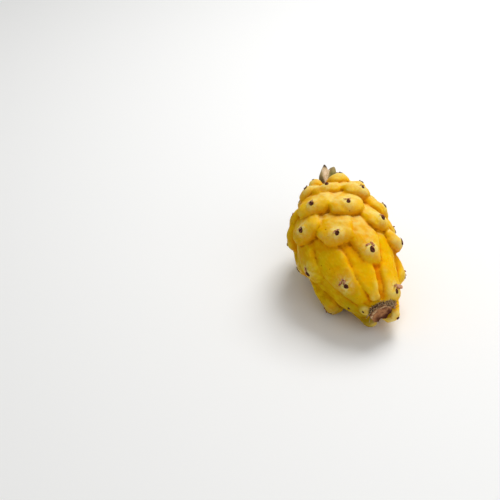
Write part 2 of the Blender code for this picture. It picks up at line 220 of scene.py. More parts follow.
# Sockets in the skin for the stem and the scar, and a wider opening on one side of the stem
SOCKET_SIDES = 64
CLEARANCE = 0.3
ROUND_CLEARANCE = 0.36
STEM_SPREAD = 6.5
STEM_OPENING = (1.8, 3.0, 0)
STEM_OPENING_FROM = 4
STEM_OPENING_LENGTH = 20
STEM_OPENING_SPREAD = 9
WELL_FLARE = 3.2
WELL_HEIGHT = 20.0

# Flower scar; its half section, foot first: (share of its radius, share of its height)
SCAR_AT = 100.5
SCAR_SHIFT = (0, 0.2, 1.8)
SCAR_RADIUS = 6.9
SCAR_HEIGHT = 4.4
SCAR_PROFILE = (
    (0.9, 0), (1, 0.3), (1.06, 0.7), (1.06, 0.98), (0.94, 1.02), (0.8, 0.84), (0.4, 0.8), (0.02, 0.7),
)
SCAR_SIDES = 96
SCAR_RINGS = 36

# How rough it is: grain across and up, a finer grain, how ragged its edge is, relief of both grains
SCAR_GRAIN = (2.2, 2)
SCAR_FINER = 3.1
SCAR_RAGGED = 0.11
SCAR_RAGGED_OUT = (0.2, 0.8)
SCAR_ROUGH = (1.3, 0.5)
SCAR_ROUGH_LEVEL = (0.6, 0.95)

# Marks on the scar, by height, distance out, and side, which is 1 where it faces the light: there the rim
# is painted paler, and the far side is painted shade
SCAR_LIT_TURN = 30
SCAR_RIM_HEIGHT = (0.85, 1.02)
SCAR_RIM_OUT = (0.6, 0.85)
SCAR_RIM_SIDE = (-0.2, 0.6)
SCAR_SHADE_SIDE = (-0.8, -0.1)
SCAR_SHADE_OUT = (0.35, 0.9)
SCAR_FOOT_LEVEL = (0.5, 0.85)
SCAR_FOOT_OUT = (0.8, 0.95)

# Half section of an areole pad, foot first: (share of its radius, share of its rise)
PAD_PROFILE = ((0.95, -1.4), (1.0, -0.2), (0.96, 0.5), (0.8, 0.95), (0.6, 1.0), (0.38, 0.7), (0.06, 0.55))
PAD_SIDES = 32
PAD_RINGS = 12
PAD_SIZE = ((-20, 0.8), (-8, 0.9), (0, 1), (23, 1), (24, 0.55), (29, 0.5))
SMALL_PADS = {-21: 0.55, -3: 0.72, 24: 0.45, 29: 0.4}
PAD_WOBBLE = ((2, 0.07), (3, 0.05))

# How each pad varies: size, length to width, slant, start of its two wobbles, rise
PAD_LIMITS = ((0.88, 1.12), (1.05, 1.3), (-0.5, 0.5), (0, 6), (0, 6), (0.8, 1.2))

# Scraps of the bract behind an areole: (setback, aside, heading, length, width, lift) in mm and degrees
BIG_SCRAPS_FROM = 16
BIG_SCRAPS = (
    (4.2, -0.6, -50, 2.6, 1.1, 1.0), (5.2, 0.2, 12, 3.4, 1.2, 1.3), (4.0, 0.5, 58, 2.4, 1.1, 0.9),
    (3.0, 0.2, -20, 1.8, 1.0, 0.5),
)
SMALL_SCRAPS = ((2.2, 0.2, 74, 2.0, 0.8, 0.6), (2.3, -0.2, -74, 2.2, 0.8, 0.7), (2.4, 0, 5, 1.7, 0.9, 0.6))

# Their grid, the least pad that has them, and their shape: the part of a half wave that tapers them,
# depth and waves of the ragged edge, level, cup, and the height from which they drop on the skin
SCRAP_GRID = (3, 11)
SCRAP_LEAST_PAD = 0.7
SCRAP_TAPER = (0.9, 0.08)
SCRAP_RAGGED = (0.2, 9)
SCRAP_LEVEL = 0.1
SCRAP_CUP = 0.2
SCRAP_DROP = 6

# How each scrap varies: turn, length, width, lift, bow, start of its ragged edge
SCRAP_LIMITS = ((-22, 22), (0.75, 1.3), (0.8, 1.3), (0.5, 1.3), (-0.7, 0.7), (0, 6))

# The one scrap that curls: its tubercle, length, heading, lift, how far it rolls up, width
CURLED = 23
CURL = (9.0, 92, 30, 230, 2.0)
CURL_STEPS = 60
CURL_TIGHTENS = 2.5
CURL_TAPER = 0.5
CURL_RAGGED = (0.25, 8)
CURL_SETBACK = 3.6
CURL_SUNK = 0.4

# Dried fibres round the scar: one in so many is in a clump, and how far each kind spreads in radians
CLUMP_EVERY = 3
CLUMP_SPREAD = 0.28
FIBRE_SPREAD = 0.95
FIBRE_GRID = (1, 7)
FIBRE_TAPER = 0.7
FIBRE_GAP = 0.15

# How each fibre varies: start past the rim, length, level, rise, sway, width, curl
FIBRE_LIMITS = ((-0.6, 1.2), (2.0, 4.6), (1.5, 3.8), (-1.0, 2.2), (-0.5, 0.5), (0.25, 0.6), (-1.2, 1.2))

# Thickness of every dried sheet
SHEET = 0.2

# Folds of the skin. A place is in millimetres along the fruit's axis from the frame's origin, a slope
# is how far the skin looks towards the flower end, and a fold's width is in passes of relaxing
SOFT_PLACE = (-20, 8)
FOLD_SLOPE = (-0.1, 0.35)
FOLD_PLACE = (-10, 5)
FOLD_LEAST = 0.15
NARROW_FOLD = 6
BROAD_FOLD = 30
BROAD_RISE = 0.25
BROAD_PLACE = (0, 12)
BROAD_LEAST = 0.15

# Layers of the unevenness: (times finer, times lower)
LUMP_STEPS = ((1, 1), (2.4, 2), (5.5, 6))

# Round an areole, as shares of its boss's height and radius: how far it reaches, how alike the slopes
# are that rise with it, its dimple, and a fold on the side of the flower end
BOSS_REACH = 4
BOSS_SIDE = (-0.2, 0.4)
DIMPLE_DEPTH = 0.45
DIMPLE_RADIUS = 0.4
BOSS_FOLD_DEPTH = 0.15
BOSS_FOLD_RADIUS = 1.75
BOSS_FOLD_WIDTH = 0.35
BOSS_FOLD_FROM = (-0.3, 1)

# Marks on the skin, by hollow in millimetres, place, slope, or share of the fruit's box. A hollow is
# measured by (passes of relaxing, passes that soften it), and a halo by (shift forwards, reach)
FINE_HOLLOW = (4, 1)
WIDE_HOLLOW = (120, 4)
# Painted shade in the narrow folds, darkest where the skin lies deepest
CREASE_HOLLOW = (0.03, 0.14)
CREASE_LEAST = 0.3
# Painted shade, warm orange, in the broad valleys between tubercles
VALLEY_HOLLOW = (-0.3, 0.9)
VALLEY_PLACE = (2, 24)
VALLEY_LEAST = 0.5
# Painted highlight on the ridges and on the skin that faces the brightest light
RIDGE_HOLLOW = (-2.0, -0.3)
LIT_SIDE_SLOPE = (0.62, 0.98)
LIT_SIDE_PLACE = (-4, 22)
LIT_SIDE_SHARE = 0.75
HALO_LEAST_PAD = 0.6
HALO = (-1.6, 4.4)
RUST = (-2.5, 4.6)
# Less ripe skin and painted shade, stronger towards the bottom and the -Y side of the fruit
UNRIPE_FROM = 0.9
UNRIPE_BY_HEIGHT = 0.75
UNRIPE_SHARE = (-0.05, 0.75)
# Painted shade under the noses, on skin that faces the flower end
NOSE_SLOPE = (0.35, 0.85)
NOSE_PLACE = (0, 16)
FLOWER_SHARE = (0.75, 1.0)

# Directions where the fruit lies: straight up, the side where the brightest light comes from, which the
# painted highlight faces, and the side of the scar where fibres clump
UP = (0.0, 0.0, 1.0)
KEY_LIGHT_SIDE = (-0.35, 0.25, 0.90)
CLUMP = (0.0, 0.85, 0.5)

# Soft noise in the finishes, by the mark that it breaks up or the tone that it spreads; wax is for the
# skin's roughness: (size in mm, detail, roughness, stretch), (start, full, weakest, strongest)
PATCHES = {
    "drift": ((22, 2), (0.36, 0.66)),
    "unripe": ((15, 2), (0.3, 0.6, 0.55, 1)),
    "lime": ((5, 4), (0.44, 0.62, 0, 0.6)),
    "streaks": ((1.3, 3, 0.5, (0.2, 1, 1)), (0.5, 0.66, 0, 0.32)),
    "valley": ((9, 2), (0.3, 0.7, 0.45, 0.95)),
    "under_nose": ((6, 2), (0.3, 0.6, 0.4, 0.8)),
    "halo": ((2.6, 4, 0.6), (0.42, 0.56, 0.2, 1.0)),
    "crease": ((4, 2), (0.3, 0.6, 0.25, 0.85)),
    "ridge": ((5, 3), (0.32, 0.6, 0.3, 0.95)),
    "rusty": ((2.5, 3), (0.35, 0.6, 0.4, 1)),
    "wax": ((6, 3), (0.3, 0.7, 0.36, 0.5)),
    "worn": ((0.9, 3), (0.45, 0.7)),
    "straw": ((1.7, 3), (0.42, 0.62)),
    "decay": ((0.5, 2), (0.55, 0.8, 0, 0.5)),
    "beige": ((1.2, 2), (0.35, 0.65)),
    "young": ((2.5, 3), (0.35, 0.65)),
    "dry": ((2.0, 2), (0.3, 0.6, 0.45, 0.95)),
    "flesh": ((1.8, 3), (0.35, 0.7)),
    "stain": ((0.7, 2), (0.58, 0.75, 0, 0.6)),
    "charred": ((1.5, 2), (0.2, 0.45, 0.5, 1)),
    "burnt": ((3, 3), (0.42, 0.72, 0, 0.8)),
    "rim": ((1.6, 3), (0.36, 0.58, 0.15, 1)),
    "pits": ((0.6, 3), (0.52, 0.75, 0, 0.6)),
}

# How ripeness, from 0 to 1 for the least ripe, changes the strength of a tone; the same mark carries the
# painted shade towards the bottom and the -Y side
BY_RIPENESS = {
    "lime": (0.05, 0.4, 0.45, 1), "flower_end": (0.1, 0.5, 0, 0.8), "valley": (0.2, 0.9, 1, 0.35),
    "ripest": (0.1, 0.4, 1, 0), "ridge": (0.2, 0.6, 1, 0.1),
}

# How height changes the strength of a tone on the stem
BY_HEIGHT = {"shaded": (0.64, 0.88, 1, 0.15), "foot": (0.38, 0.72, 0.97, 0)}

# Specks: (spacing, size, share of cells that have one), and the share of a speck that is full
SPECKS = ((6.0, 0.62, 0.2), (2.6, 0.3, 0.06))
SPECK_CORE = 0.6
SPECK_STRENGTH = 0.85
CURLED_STRENGTH = 0.75

# Colours that no setting changes
LIME = (0.66, 0.48, 0.004)
STREAK = (0.84, 0.56, 0.02)
GREEN_END = (0.27, 0.22, 0.004)
# Painted shade in the valleys of the ripest skin
RIPEST_VALLEY_SHADE = (0.70, 0.15, 0.0003)
# Painted shade under the noses of the tubercles
UNDER_NOSE_SHADE = (0.68, 0.275, 0.0003)
RUSTY_TIP = (0.28, 0.07, 0.01)
WORN_FELT = (0.24, 0.085, 0.035)
CURLED_TONE = (0.66, 0.36, 0.20)
DECAYED = (0.05, 0.018, 0.01)
GREY_FIBRE = (0.12, 0.065, 0.028)
BEIGE_FIBRE = (0.56, 0.39, 0.21)
YOUNG_RIND = (0.27, 0.25, 0.07)
OLD_FLESH = (0.55, 0.40, 0.22)
STAINED_FLESH = (0.22, 0.12, 0.05)
SCAR_PIT = (0.07, 0.03, 0.02)

# Gloss of the waxy skin and of everything dry
WAXY = {
    "Subsurface Weight": 0.12, "Subsurface Radius": (1.0, 0.35, 0.01), "Subsurface Scale": 2.5 * MM,
    "Specular IOR Level": 0.04, "IOR": 1.2,
}
DRY = {"Specular IOR Level": 0.12}

# Surfaces: (roughness, gloss, bumps), each bump being (noise as in the patches, depth in millimetres)
SKIN_BUMPS = (((0.45, 2), 0.03), ((2.2, 3), 0.14))
FELT_SURFACE = (0.9, DRY, ((0.25, 3), 0.12))
BRACT_SURFACE = (0.8, DRY, ((0.5, 3), 0.1))
FIBRE_SURFACE = (0.85, DRY, ((0.3, 2), 0.06))
RIND_SURFACE = (0.75, DRY, ((0.6, 3), 0.1), ((3, 2, 0.5, (1, 1, 0.4)), 0.3))
SCAR_SURFACE = (0.78, DRY, ((0.5, 3), 0.12))

# Lights, in metres: (name, size, place); each looks at the fruit
LIGHTS = (("key", 0.55, (-0.34, 0.40, 0.86)), ("fill", 0.8, (0.66, 0.30, 0.66)))
FLOOR_ROUGHNESS = 0.9

# Where the camera of the photograph stood: what it looks at, and its turn, rise and roll in degrees
CAMERA_AIM = (-0.0169, -0.0611, 0.0343)
CAMERA_DISTANCE = 0.600
CAMERA_AZIMUTH = 80.70
CAMERA_ELEVATION = 37.22
CAMERA_ROLL = -6.63
CAMERA_LENS = 64.83


class StageSettings(bpy.types.PropertyGroup):
    """Floor and light."""

    floor_size: FloatProperty(name="Floor size", description="Width of the floor", default=6.0, unit="LENGTH")
    floor_colour: FloatVectorProperty(
        name="Floor", description="Colour of the floor", subtype="COLOR", default=(0.86, 0.86, 0.85)
    )
    sky: FloatProperty(name="Sky", description="Strength of the even light from all round", default=0.42)
    key: FloatProperty(name="Key", description="Power of the soft light above", default=7.7, unit="POWER")
    fill: FloatProperty(name="Fill", description="Power of the light at the side", default=1.9, unit="POWER")


class SkinSettings(bpy.types.PropertyGroup):
    """The fused skin, its relief and its colours."""

    voxel: FloatProperty(
        name="Grid", description="Grid that the tubercles are fused on", default=0.6 * MM, unit="LENGTH"
    )
    smoothing: IntProperty(name="Smoothing", description="Passes that soften the fused skin", default=3)
    stem_smoothing: IntProperty(
        name="Stem smoothing", description="Further passes that soften the stem half", default=3
    )
    crispness: FloatProperty(name="Crispness", description="How much folds are deepened", default=1.8)
    fold_depth: FloatProperty(
        name="Fold depth", description="Most that a fold is deepened", default=0.6 * MM, unit="LENGTH"
    )
    broad_crispness: FloatProperty(
        name="Broad crispness", description="How much the wider folds are deepened", default=0.8
    )
    broad_depth: FloatProperty(
        name="Broad depth", description="Most that a wider fold is deepened", default=0.7 * MM, unit="LENGTH"
    )
    lump_height: FloatProperty(
        name="Lump height", description="Height of the broad unevenness", default=1.2 * MM, unit="LENGTH"
    )
    lump_size: FloatProperty(
        name="Lump size", description="Width of the broad unevenness", default=12 * MM, unit="LENGTH"
    )
    boss_height: FloatProperty(
        name="Boss height", description="How far the skin swells round an areole", default=1.5 * MM,
        unit="LENGTH",
    )
    boss_radius: FloatProperty(
        name="Boss radius", description="Reach of the swelling round an areole", default=3.4 * MM,
        unit="LENGTH",
    )
    yellow: FloatVectorProperty(
        name="Yellow", description="Ripe skin", subtype="COLOR", default=(0.80, 0.44, 0.0008)
    )
    gold: FloatVectorProperty(
        name="Gold", description="Deeper patches", subtype="COLOR", default=(0.78, 0.36, 0.0004)
    )
    # Colour of the painted shade in the valleys between tubercles
    valley_shade_orange: FloatVectorProperty(
        name="Orange", description="Valleys between tubercles", subtype="COLOR", default=(0.66, 0.215, 0.0003)
    )
    # Colour of the less ripe skin together with the painted shade on the lower side
    olive_and_shade: FloatVectorProperty(
        name="Olive", description="Less ripe side", subtype="COLOR", default=(0.49, 0.29, 0.0002)
    )
    green: FloatVectorProperty(
        name="Green", description="Skin round the areoles", subtype="COLOR", default=(0.80, 0.70, 0.26)
    )
    # Colour of the painted highlight on the ridges and the lit side
    highlight_cream: FloatVectorProperty(
        name="Cream", description="Pale bloom on the ridges", subtype="COLOR", default=(0.80, 0.64, 0.19)
    )
    # Painted shade in the folds; the same colour also gives the real brown specks
    crease: FloatVectorProperty(
        name="Crease", description="Folds and specks", subtype="COLOR", default=(0.39, 0.135, 0.001)
    )


class DriedSettings(bpy.types.PropertyGroup):
    """Areole pads, bract scraps and dried fibres."""

    pad_radius: FloatProperty(
        name="Pad radius", description="Half width of an areole pad", default=1.55 * MM, unit="LENGTH"
    )
    pad_rise: FloatProperty(
        name="Pad rise", description="Height of an areole pad", default=0.55 * MM, unit="LENGTH"
    )
    bract_setback: FloatProperty(name="Bract setback", description="Share of the usual setback", default=1.0)
    fibres: IntProperty(name="Fibres", description="Dried fibres round the flower scar", default=140)
    maroon: FloatVectorProperty(
        name="Maroon", description="Felt of the pads", subtype="COLOR", default=(0.050, 0.011, 0.006)
    )
    straw: FloatVectorProperty(
        name="Straw", description="Dried tissue", subtype="COLOR", default=(0.56, 0.30, 0.16)
    )
    rust: FloatVectorProperty(
        name="Rust", description="Dried bracts", subtype="COLOR", default=(0.33, 0.07, 0.025)
    )


class StemSettings(bpy.types.PropertyGroup):
    """The cut stem."""

    green: FloatVectorProperty(
        name="Rind", description="Skin of the stem", subtype="COLOR", default=(0.13, 0.13, 0.022)
    )
    tan: FloatVectorProperty(
        name="Dry rind", description="Dried skin near the tips", subtype="COLOR", default=(0.36, 0.26, 0.11)
    )
    pale: FloatVectorProperty(
        name="Cut face", description="Pale dried flesh", subtype="COLOR", default=(0.78, 0.60, 0.42)
    )
    dark: FloatVectorProperty(
        name="Dark edge", description="Charred tips and foot", subtype="COLOR", default=(0.065, 0.035, 0.014)
    )


class ScarSettings(bpy.types.PropertyGroup):
    """The dried flower scar."""

    brown: FloatVectorProperty(
        name="Face", description="Face of the scar", subtype="COLOR", default=(0.42, 0.185, 0.075)
    )
    # Shown only on the lit side of the rim: partly the rim's own colour, partly painted light
    rim: FloatVectorProperty(
        name="Rim", description="Raised rim", subtype="COLOR", default=(0.62, 0.42, 0.22)
    )
    # Also the painted shade on the side of the scar away from the light
    dark: FloatVectorProperty(
        name="Foot", description="Dark foot and hollows", subtype="COLOR", default=(0.085, 0.022, 0.010)
    )


def deselect():
    bpy.ops.object.select_all(action="DESELECT")


def only(thing):
    """Make one object the selected and the active one."""
    deselect()
    thing.select_set(True)
    bpy.context.view_layer.objects.active = thing


def apply(thing, kind, **values):
    """Add a modifier with these values and apply it."""
    only(thing)
    made = thing.modifiers.new(kind.title(), kind)
    for name, value in values.items():
        setattr(made, name, value)
    bpy.ops.object.modifier_apply(modifier=made.name)


def joined(things, name):
    """Join objects into one mesh under a plain name."""
    deselect()
    for thing in things:
        thing.select_set(True)
    bpy.context.view_layer.objects.active = things[0]
    bpy.ops.object.join()
    things[0].name = things[0].data.name = name
    return things[0]


def copy_of(master, name):
    made = master.copy()
    made.data = master.data.copy()
    made.name = name
    bpy.context.scene.collection.objects.link(made)
    return made


def remove(thing):
    bpy.data.objects.remove(thing)


def vertex_values(thing, name):
    """One of Blender's own vertex values, such as co or normal, as an (n, 3) array."""
    flat = np.empty(len(thing.data.vertices) * 3)
    thing.data.vertices.foreach_get(name, flat)
    return flat.reshape(-1, 3)


def points_of(thing):
    """Vertex places as an (n, 3) array in millimetres."""
    return vertex_values(thing, "co") / MM


def normals_of(thing):
    return vertex_values(thing, "normal")


def put_points(thing, points):
    thing.data.vertices.foreach_set("co", (points * MM).ravel())
    thing.data.update()


def point_outwards(thing):
    only(thing)
    bpy.ops.object.mode_set(mode="EDIT")
    bpy.ops.mesh.select_all(action="SELECT")
    bpy.ops.mesh.normals_make_consistent(inside=False)
    bpy.ops.object.mode_set(mode="OBJECT")


def ring_stack(name, sides, rings):
    """A closed round column of rings one unit apart; a piece's own rule then shapes its points."""
    deselect()
    bpy.ops.mesh.primitive_circle_add(vertices=sides, radius=1, fill_type="NGON")
    made = bpy.context.object
    made.name = name
    bpy.ops.object.mode_set(mode="EDIT")
    bpy.ops.mesh.select_all(action="SELECT")
    for _ in range(rings - 1):
        bpy.ops.mesh.extrude_region_move(TRANSFORM_OT_translate={"value": (0, 0, 1)})
    bpy.ops.object.mode_set(mode="OBJECT")
    return made


def column_places(column):
    """The ring of a plain column that each point is on, and its angle round it."""
    flat = vertex_values(column, "co")
    return np.round(flat[:, 2]).astype(int), np.arctan2(flat[:, 1], flat[:, 0])


def strip(parts_across, parts_along):
    """A flat strip for thin dried pieces, and each point's place across it, -1 to 1, and along it, 0 to 1."""
    deselect()
    bpy.ops.mesh.primitive_grid_add(x_subdivisions=parts_across, y_subdivisions=parts_along, size=2)
    flat = vertex_values(bpy.context.object, "co")
    return bpy.context.object, flat[:, 0], (flat[:, 1] + 1) / 2


def above_floor(points):
    """Nothing reaches below the surface that the fruit lies on."""
    made = np.array(points)
    made[:, 2] = np.maximum(made[:, 2], 0)
    return made


def set_attributes(thing, **marks):
    """Give each point of a piece the marks that its finish reads by name."""
    for name, values in marks.items():
        layer = thing.data.attributes.new(name, "FLOAT", "POINT")
        layer.data.foreach_set("value", np.ascontiguousarray(values, dtype=np.float32))


def dressed(thing, material):
    thing.data.materials.append(material)
    thing.data.shade_smooth()
    return thing


def dried_sheets(master, sheets, name, material):
    """Join thin pieces made from one strip, and give them their thickness and finish."""
    remove(master)
    made = joined(sheets, name)
    apply(made, "SOLIDIFY", thickness=SHEET * MM, offset=0)
    put_points(made, above_floor(points_of(made)))
    return dressed(made, material)


def finish_piece(thing, slot, *nodes):
    """Attach a finished piece to the body it rides on and hide the model's parts that it stands for; the slot
    is not used.
    """
    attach(thing, BODY)
    if nodes:
        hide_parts(*nodes)


def smooth_step(values, low, high):
    share = np.clip((np.asarray(values, dtype=float) - low) / (high - low), 0, 1)
    return share * share * (3 - 2 * share)


def fade(values, low, high):
    """Like smooth_step the other way round: 1 below the low limit and 0 above the high one."""
    return smooth_step(-np.asarray(values), -high, -low)


def at_least(least, share):
    """A share from 0 to 1 squeezed so that it never falls below its least value."""
    return least + (1 - least) * share


def varied(draw, limits):
    """One random value between each pair of limits."""
    return [draw.uniform(*pair) for pair in limits]


def read(table, number):
    places, values = zip(*table)
    return float(np.interp(number, places, values))


def station(number):
    """How far along the axis a tubercle sits, averaged so that the rows close up evenly."""
    return sum(read(STATION, number + shift) for shift in (-1.5, -0.5, 0.5, 1.5)) / 4


def outline(radius, stem_reach, flower_reach, share=1.0):
    """Half outline, (along, out), from the blunt stem end to the tapered flower end."""
    quarter = np.linspace(0, math.pi / 2, OUTLINE_STEPS)
    along = BELLY_AT - stem_reach * np.cos(quarter) ** STEM_BLUNTNESS
    out = radius * np.sin(quarter) ** STEM_BLUNTNESS
    run = np.linspace(0, share, OUTLINE_STEPS)[1:]
    along = np.concatenate((along, BELLY_AT + flower_reach * run))
    out = np.concatenate((out, radius * (1 - run ** FLOWER_POWER) ** FLOWER_TAPER))
    return np.stack((along, out), axis=-1)


def length_along(points):
    return np.concatenate(([0], np.cumsum(np.hypot(*np.diff(points, axis=0).T))))


OUTER = outline(BELLY_RADIUS, STEM_REACH, FLOWER_REACH)
ARC = length_along(OUTER)


def on_outline(arc):
    """Place, forward direction and outward direction of the outer outline at lengths along it."""
    reach = 0.5
    ahead, here, behind = (
        np.stack([np.interp(arc + step, ARC, OUTER[:, part]) for part in (0, 1)], axis=-1)
        for step in (reach, 0, -reach)
    )
    forward = ahead - behind
    forward /= np.linalg.norm(forward, axis=-1, keepdims=True)
    return here, forward, np.stack((-forward[..., 1], forward[..., 0]), axis=-1)


def turned(points, angle):
    """Places or directions (along, out) of the outline, turned round the axis."""
    along, out = points[..., 0], points[..., 1]
    return np.stack((along, out * math.sin(angle), out * math.cos(angle)), axis=-1)


def bent(points):
    """The fruit's axis bows a little to one side towards the flower end."""
    made = np.array(points, dtype=float)
    made[..., 1] += BEND * (np.maximum(made[..., 0], 0) / BEND_AT) ** 2
    return made


REST_TURN = np.array(Euler((math.radians(ROLL), math.radians(TIP), 0)).to_matrix())


def facing(direction):
    """From a direction in the fruit's own frame to where it lies."""
    return np.asarray(direction) @ REST_TURN.T


def laid_down(points):
    """From the fruit's own frame to where it lies, both in millimetres."""
    return facing(points) + np.array(STEM_END)


def placed(points, place):
    """From a piece's own frame on the fruit to where the fruit lies."""
    return laid_down(points @ np.array(place.to_3x3()).T + np.array(place.translation))


AXIS = facing((1.0, 0.0, 0.0))


def smooth_read(places, column):
    """Read one column of the root's rings without its corners."""
    shares = [ring[0] for ring in ROOT_RINGS]
    values = [ring[column] for ring in ROOT_RINGS]
    return sum(np.interp(places + step, shares, values) for step in (-ROOT_ROUNDING, 0, ROOT_ROUNDING)) / 3


def tubercle_rings(number, draw):
    """Rings of one tubercle in the outline's plane, the angle it stands at, and where its areole lies."""
    arc = float(np.interp(station(number), OUTER[:, 0], ARC))
    angle = math.radians(START_ANGLE + TURN * number)
    uneven = draw.uniform(-UNEVEN_PLACE, UNEVEN_PLACE), draw.uniform(-UNEVEN_ANGLE, UNEVEN_ANGLE), 0
    along, around, rise = STRAY.get(number, uneven)
    arc, angle = arc + along, angle + math.radians(around)
    size = [1 + draw.uniform(-UNEVEN_SIZE, UNEVEN_SIZE) for _ in range(3)]
    width, height, root = (
        read(table, number) * times for table, times in zip((HALF_WIDTH, HALF_HEIGHT, ROOT_LENGTH), size)
    )
    nose, hug = read(NOSE_LENGTH, number), read(NOSE_HUG, number)
    narrowing = read(NOSE_WIDTH, number) / ROOT_RINGS[-1][1]

    share = np.linspace(0, 1, ROOT_STEPS)
    here, forward, out = on_outline(np.maximum(arc - root * (1 - share), ROOT_START))
    wide = width * smooth_read(share, 1) * (1 + (narrowing - 1) * share ** ROOT_NARROWS)
    high = height * smooth_read(share, 2)
    deep = read(ROOT_DEPTH, number) + DEEP_ROOTS.get(number, 0)
    sunk = deep * smooth_read(share, 3) + high - rise
    centre = here - out * sunk[:, None]
    onwards, aside = AREOLE_STRAY.get(number, (0, 0))
    looks = angle + math.radians(aside)
    top = here[-1] + forward[-1] * (AREOLE_AHEAD + onwards) + out[-1] * rise
    areole = laid_down(bent(turned(top, looks))), facing(turned(out[-1], looks))

    lean = np.radians(np.linspace(0, NOSE_END, NOSE_STEPS + 1)[1:])
    slim = np.cos(lean) ** NOSE_BLUNTNESS
    reach = nose * np.sin(lean)
    straight = centre[-1] + forward[-1] * reach[:, None]
    there, _, away = on_outline(arc + reach)
    sink = read(NOSE_SINK, number) * (1 - np.cos(lean))
    hugging = there - away * (high[-1] - rise + sink)[:, None]
    ends = np.repeat(out[-1:], NOSE_STEPS, axis=0)
    centre = np.concatenate((centre, straight + (hugging - straight) * hug))
    wide = np.concatenate((wide, wide[-1] * slim))
    high = np.concatenate((high, high[-1] * slim))
    return (centre, np.concatenate((out, ends)), wide, high), angle, areole


def tubercles():
    """Every tubercle's number, rings, angle and areole, all from one seeded draw."""
    draw = random.Random(SEED)
    return [(number, *tubercle_rings(number, draw)) for number in NUMBERS]


def shape_tubercle(thing, rings, angle, fullness):
    """Move a plain column's points on to a tubercle's rings."""
    centre, out, wide, high = rings
    points = vertex_values(thing, "co")
    ring = np.clip(np.round(points[:, 2]).astype(int), 0, len(wide) - 1)
    full = np.sign(points[:, :2]) * np.abs(points[:, :2]) ** fullness
    across = turned(np.array((0.0, 1.0)), angle + math.pi / 2)
    made = turned(centre[ring], angle) + across * (wide[ring] * full[:, 0])[:, None]
    made += turned(out[ring], angle) * (high[ring] * full[:, 1])[:, None]
    put_points(thing, bent(made))


def core():
    """The egg of flesh that the tubercles grow from."""
    deselect()
    bpy.ops.mesh.primitive_uv_sphere_add(
        segments=CORE_SIDES, ring_count=CORE_RINGS, radius=1, rotation=(0, math.pi / 2, 0)
    )
    bpy.ops.object.transform_apply(location=False, rotation=True, scale=False)
    made = bpy.context.object
    points = vertex_values(made, "co")
    half = outline(CORE_RADIUS, CORE_STEM_REACH, CORE_FLOWER_REACH, CORE_SHARE)
    half = np.concatenate((half, [(half[-1, 0], 0)]))
    arc = length_along(half)
    share = np.arccos(np.clip(-points[:, 0], -1, 1)) / math.pi * arc[-1]
    along, out = (np.interp(share, arc, half[:, part]) for part in (0, 1))
    out += CORE_FULLER * smooth_step(along, *CORE_FULLER_FROM) * fade(along, *CORE_FULLER_UNTIL)
    around = np.arctan2(points[:, 1], points[:, 2])
    put_points(made, bent(np.stack((along, out * np.sin(around), out * np.cos(around)), axis=-1)))
    return made


def stem_place():
    """The stem's own frame: its foot on the fruit's axis, +Z up the stem."""
    lean, towards = math.radians(STEM_LEAN), math.radians(STEM_LEAN_TOWARDS)
    side = Vector((0, math.sin(towards), math.cos(towards)))
    up = Vector((-math.cos(lean), 0, 0)) + side * math.sin(lean)
    return Matrix.Translation(STEM_FOOT) @ up.to_track_quat("Z", "Y").to_matrix().to_4x4()


def scar_place():
    """The scar's own frame: at the bottom of its well, +Z along the bent axis."""
    behind, here, ahead = (Vector(bent((SCAR_AT + step, 0, 0))) for step in (-1, 0, 1))
    turn = (ahead - behind).normalized().to_track_quat("Z", "Y").to_matrix().to_4x4()
    return Matrix.Translation(here + Vector(SCAR_SHIFT)) @ turn


def cut(thing, place, low, length, radius, top_radius):
    """Cut a flaring round socket that stands in a piece's frame."""
    deselect()
    spot = place @ Matrix.Translation((0, 0, low + length / 2))
    bpy.ops.mesh.primitive_cone_add(
        vertices=SOCKET_SIDES, radius1=radius * MM, radius2=top_radius * MM, depth=length * MM,
        location=spot.translation * MM, rotation=spot.to_euler(),
    )
    cutter = bpy.context.object
    apply(thing, "BOOLEAN", operation="DIFFERENCE", object=cutter, solver="EXACT")
    remove(cutter)


def edges_of(thing):
    flat = np.empty(len(thing.data.edges) * 2, dtype=np.int64)
    thing.data.edges.foreach_get("vertices", flat)
    return flat.reshape(-1, 2)


def relaxed(values, edges, passes):
    """Each row of values averaged with its neighbours' over the mesh, again and again."""
    first, second = edges.T
    size = len(values)
    count = (np.bincount(first, minlength=size) + np.bincount(second, minlength=size))[:, None]
    made = np.array(values, dtype=float)
    for _ in range(passes):
        total = np.stack([
            np.bincount(first, made[second, part], size) + np.bincount(second, made[first, part], size)
            for part in range(made.shape[1])
        ], axis=-1)
        made = (made + total / count) / 2
    return made


def hollowness(points, normals, edges, passes):
    """How far each point lies below its surroundings, in millimetres; bumps are negative."""
    return ((relaxed(points, edges, passes) - points) * normals).sum(axis=1)


def surface_tree(thing):
    """A tree for dropping points on a piece, in metres."""
    graph = bpy.context.evaluated_depsgraph_get()
    return BVHTree.FromObject(thing, graph)


def drop(tree, point, out, height=15.0):
    """Where a line dropped inwards from above a point meets the skin, and the normal there."""
    above, out = Vector(point) + Vector(out) * height, Vector(out).normalized()
    hit, normal, _, _ = tree.ray_cast(above * MM, -out)
    if hit is None:
        raise RuntimeError("a point misses the skin")
    return np.array(hit) / MM, np.array(normal)


def areole_frames(tree):
    """Place, normal, forward and sideways direction of each areole on the skin."""
    frames = []
    for *_, (place, out) in tubercles():
        spot, normal = drop(tree, place, out)
        forward = AXIS - normal * (AXIS @ normal)
        forward /= np.linalg.norm(forward)
        frames.append((spot, normal, forward, np.cross(normal, forward)))
    return frames


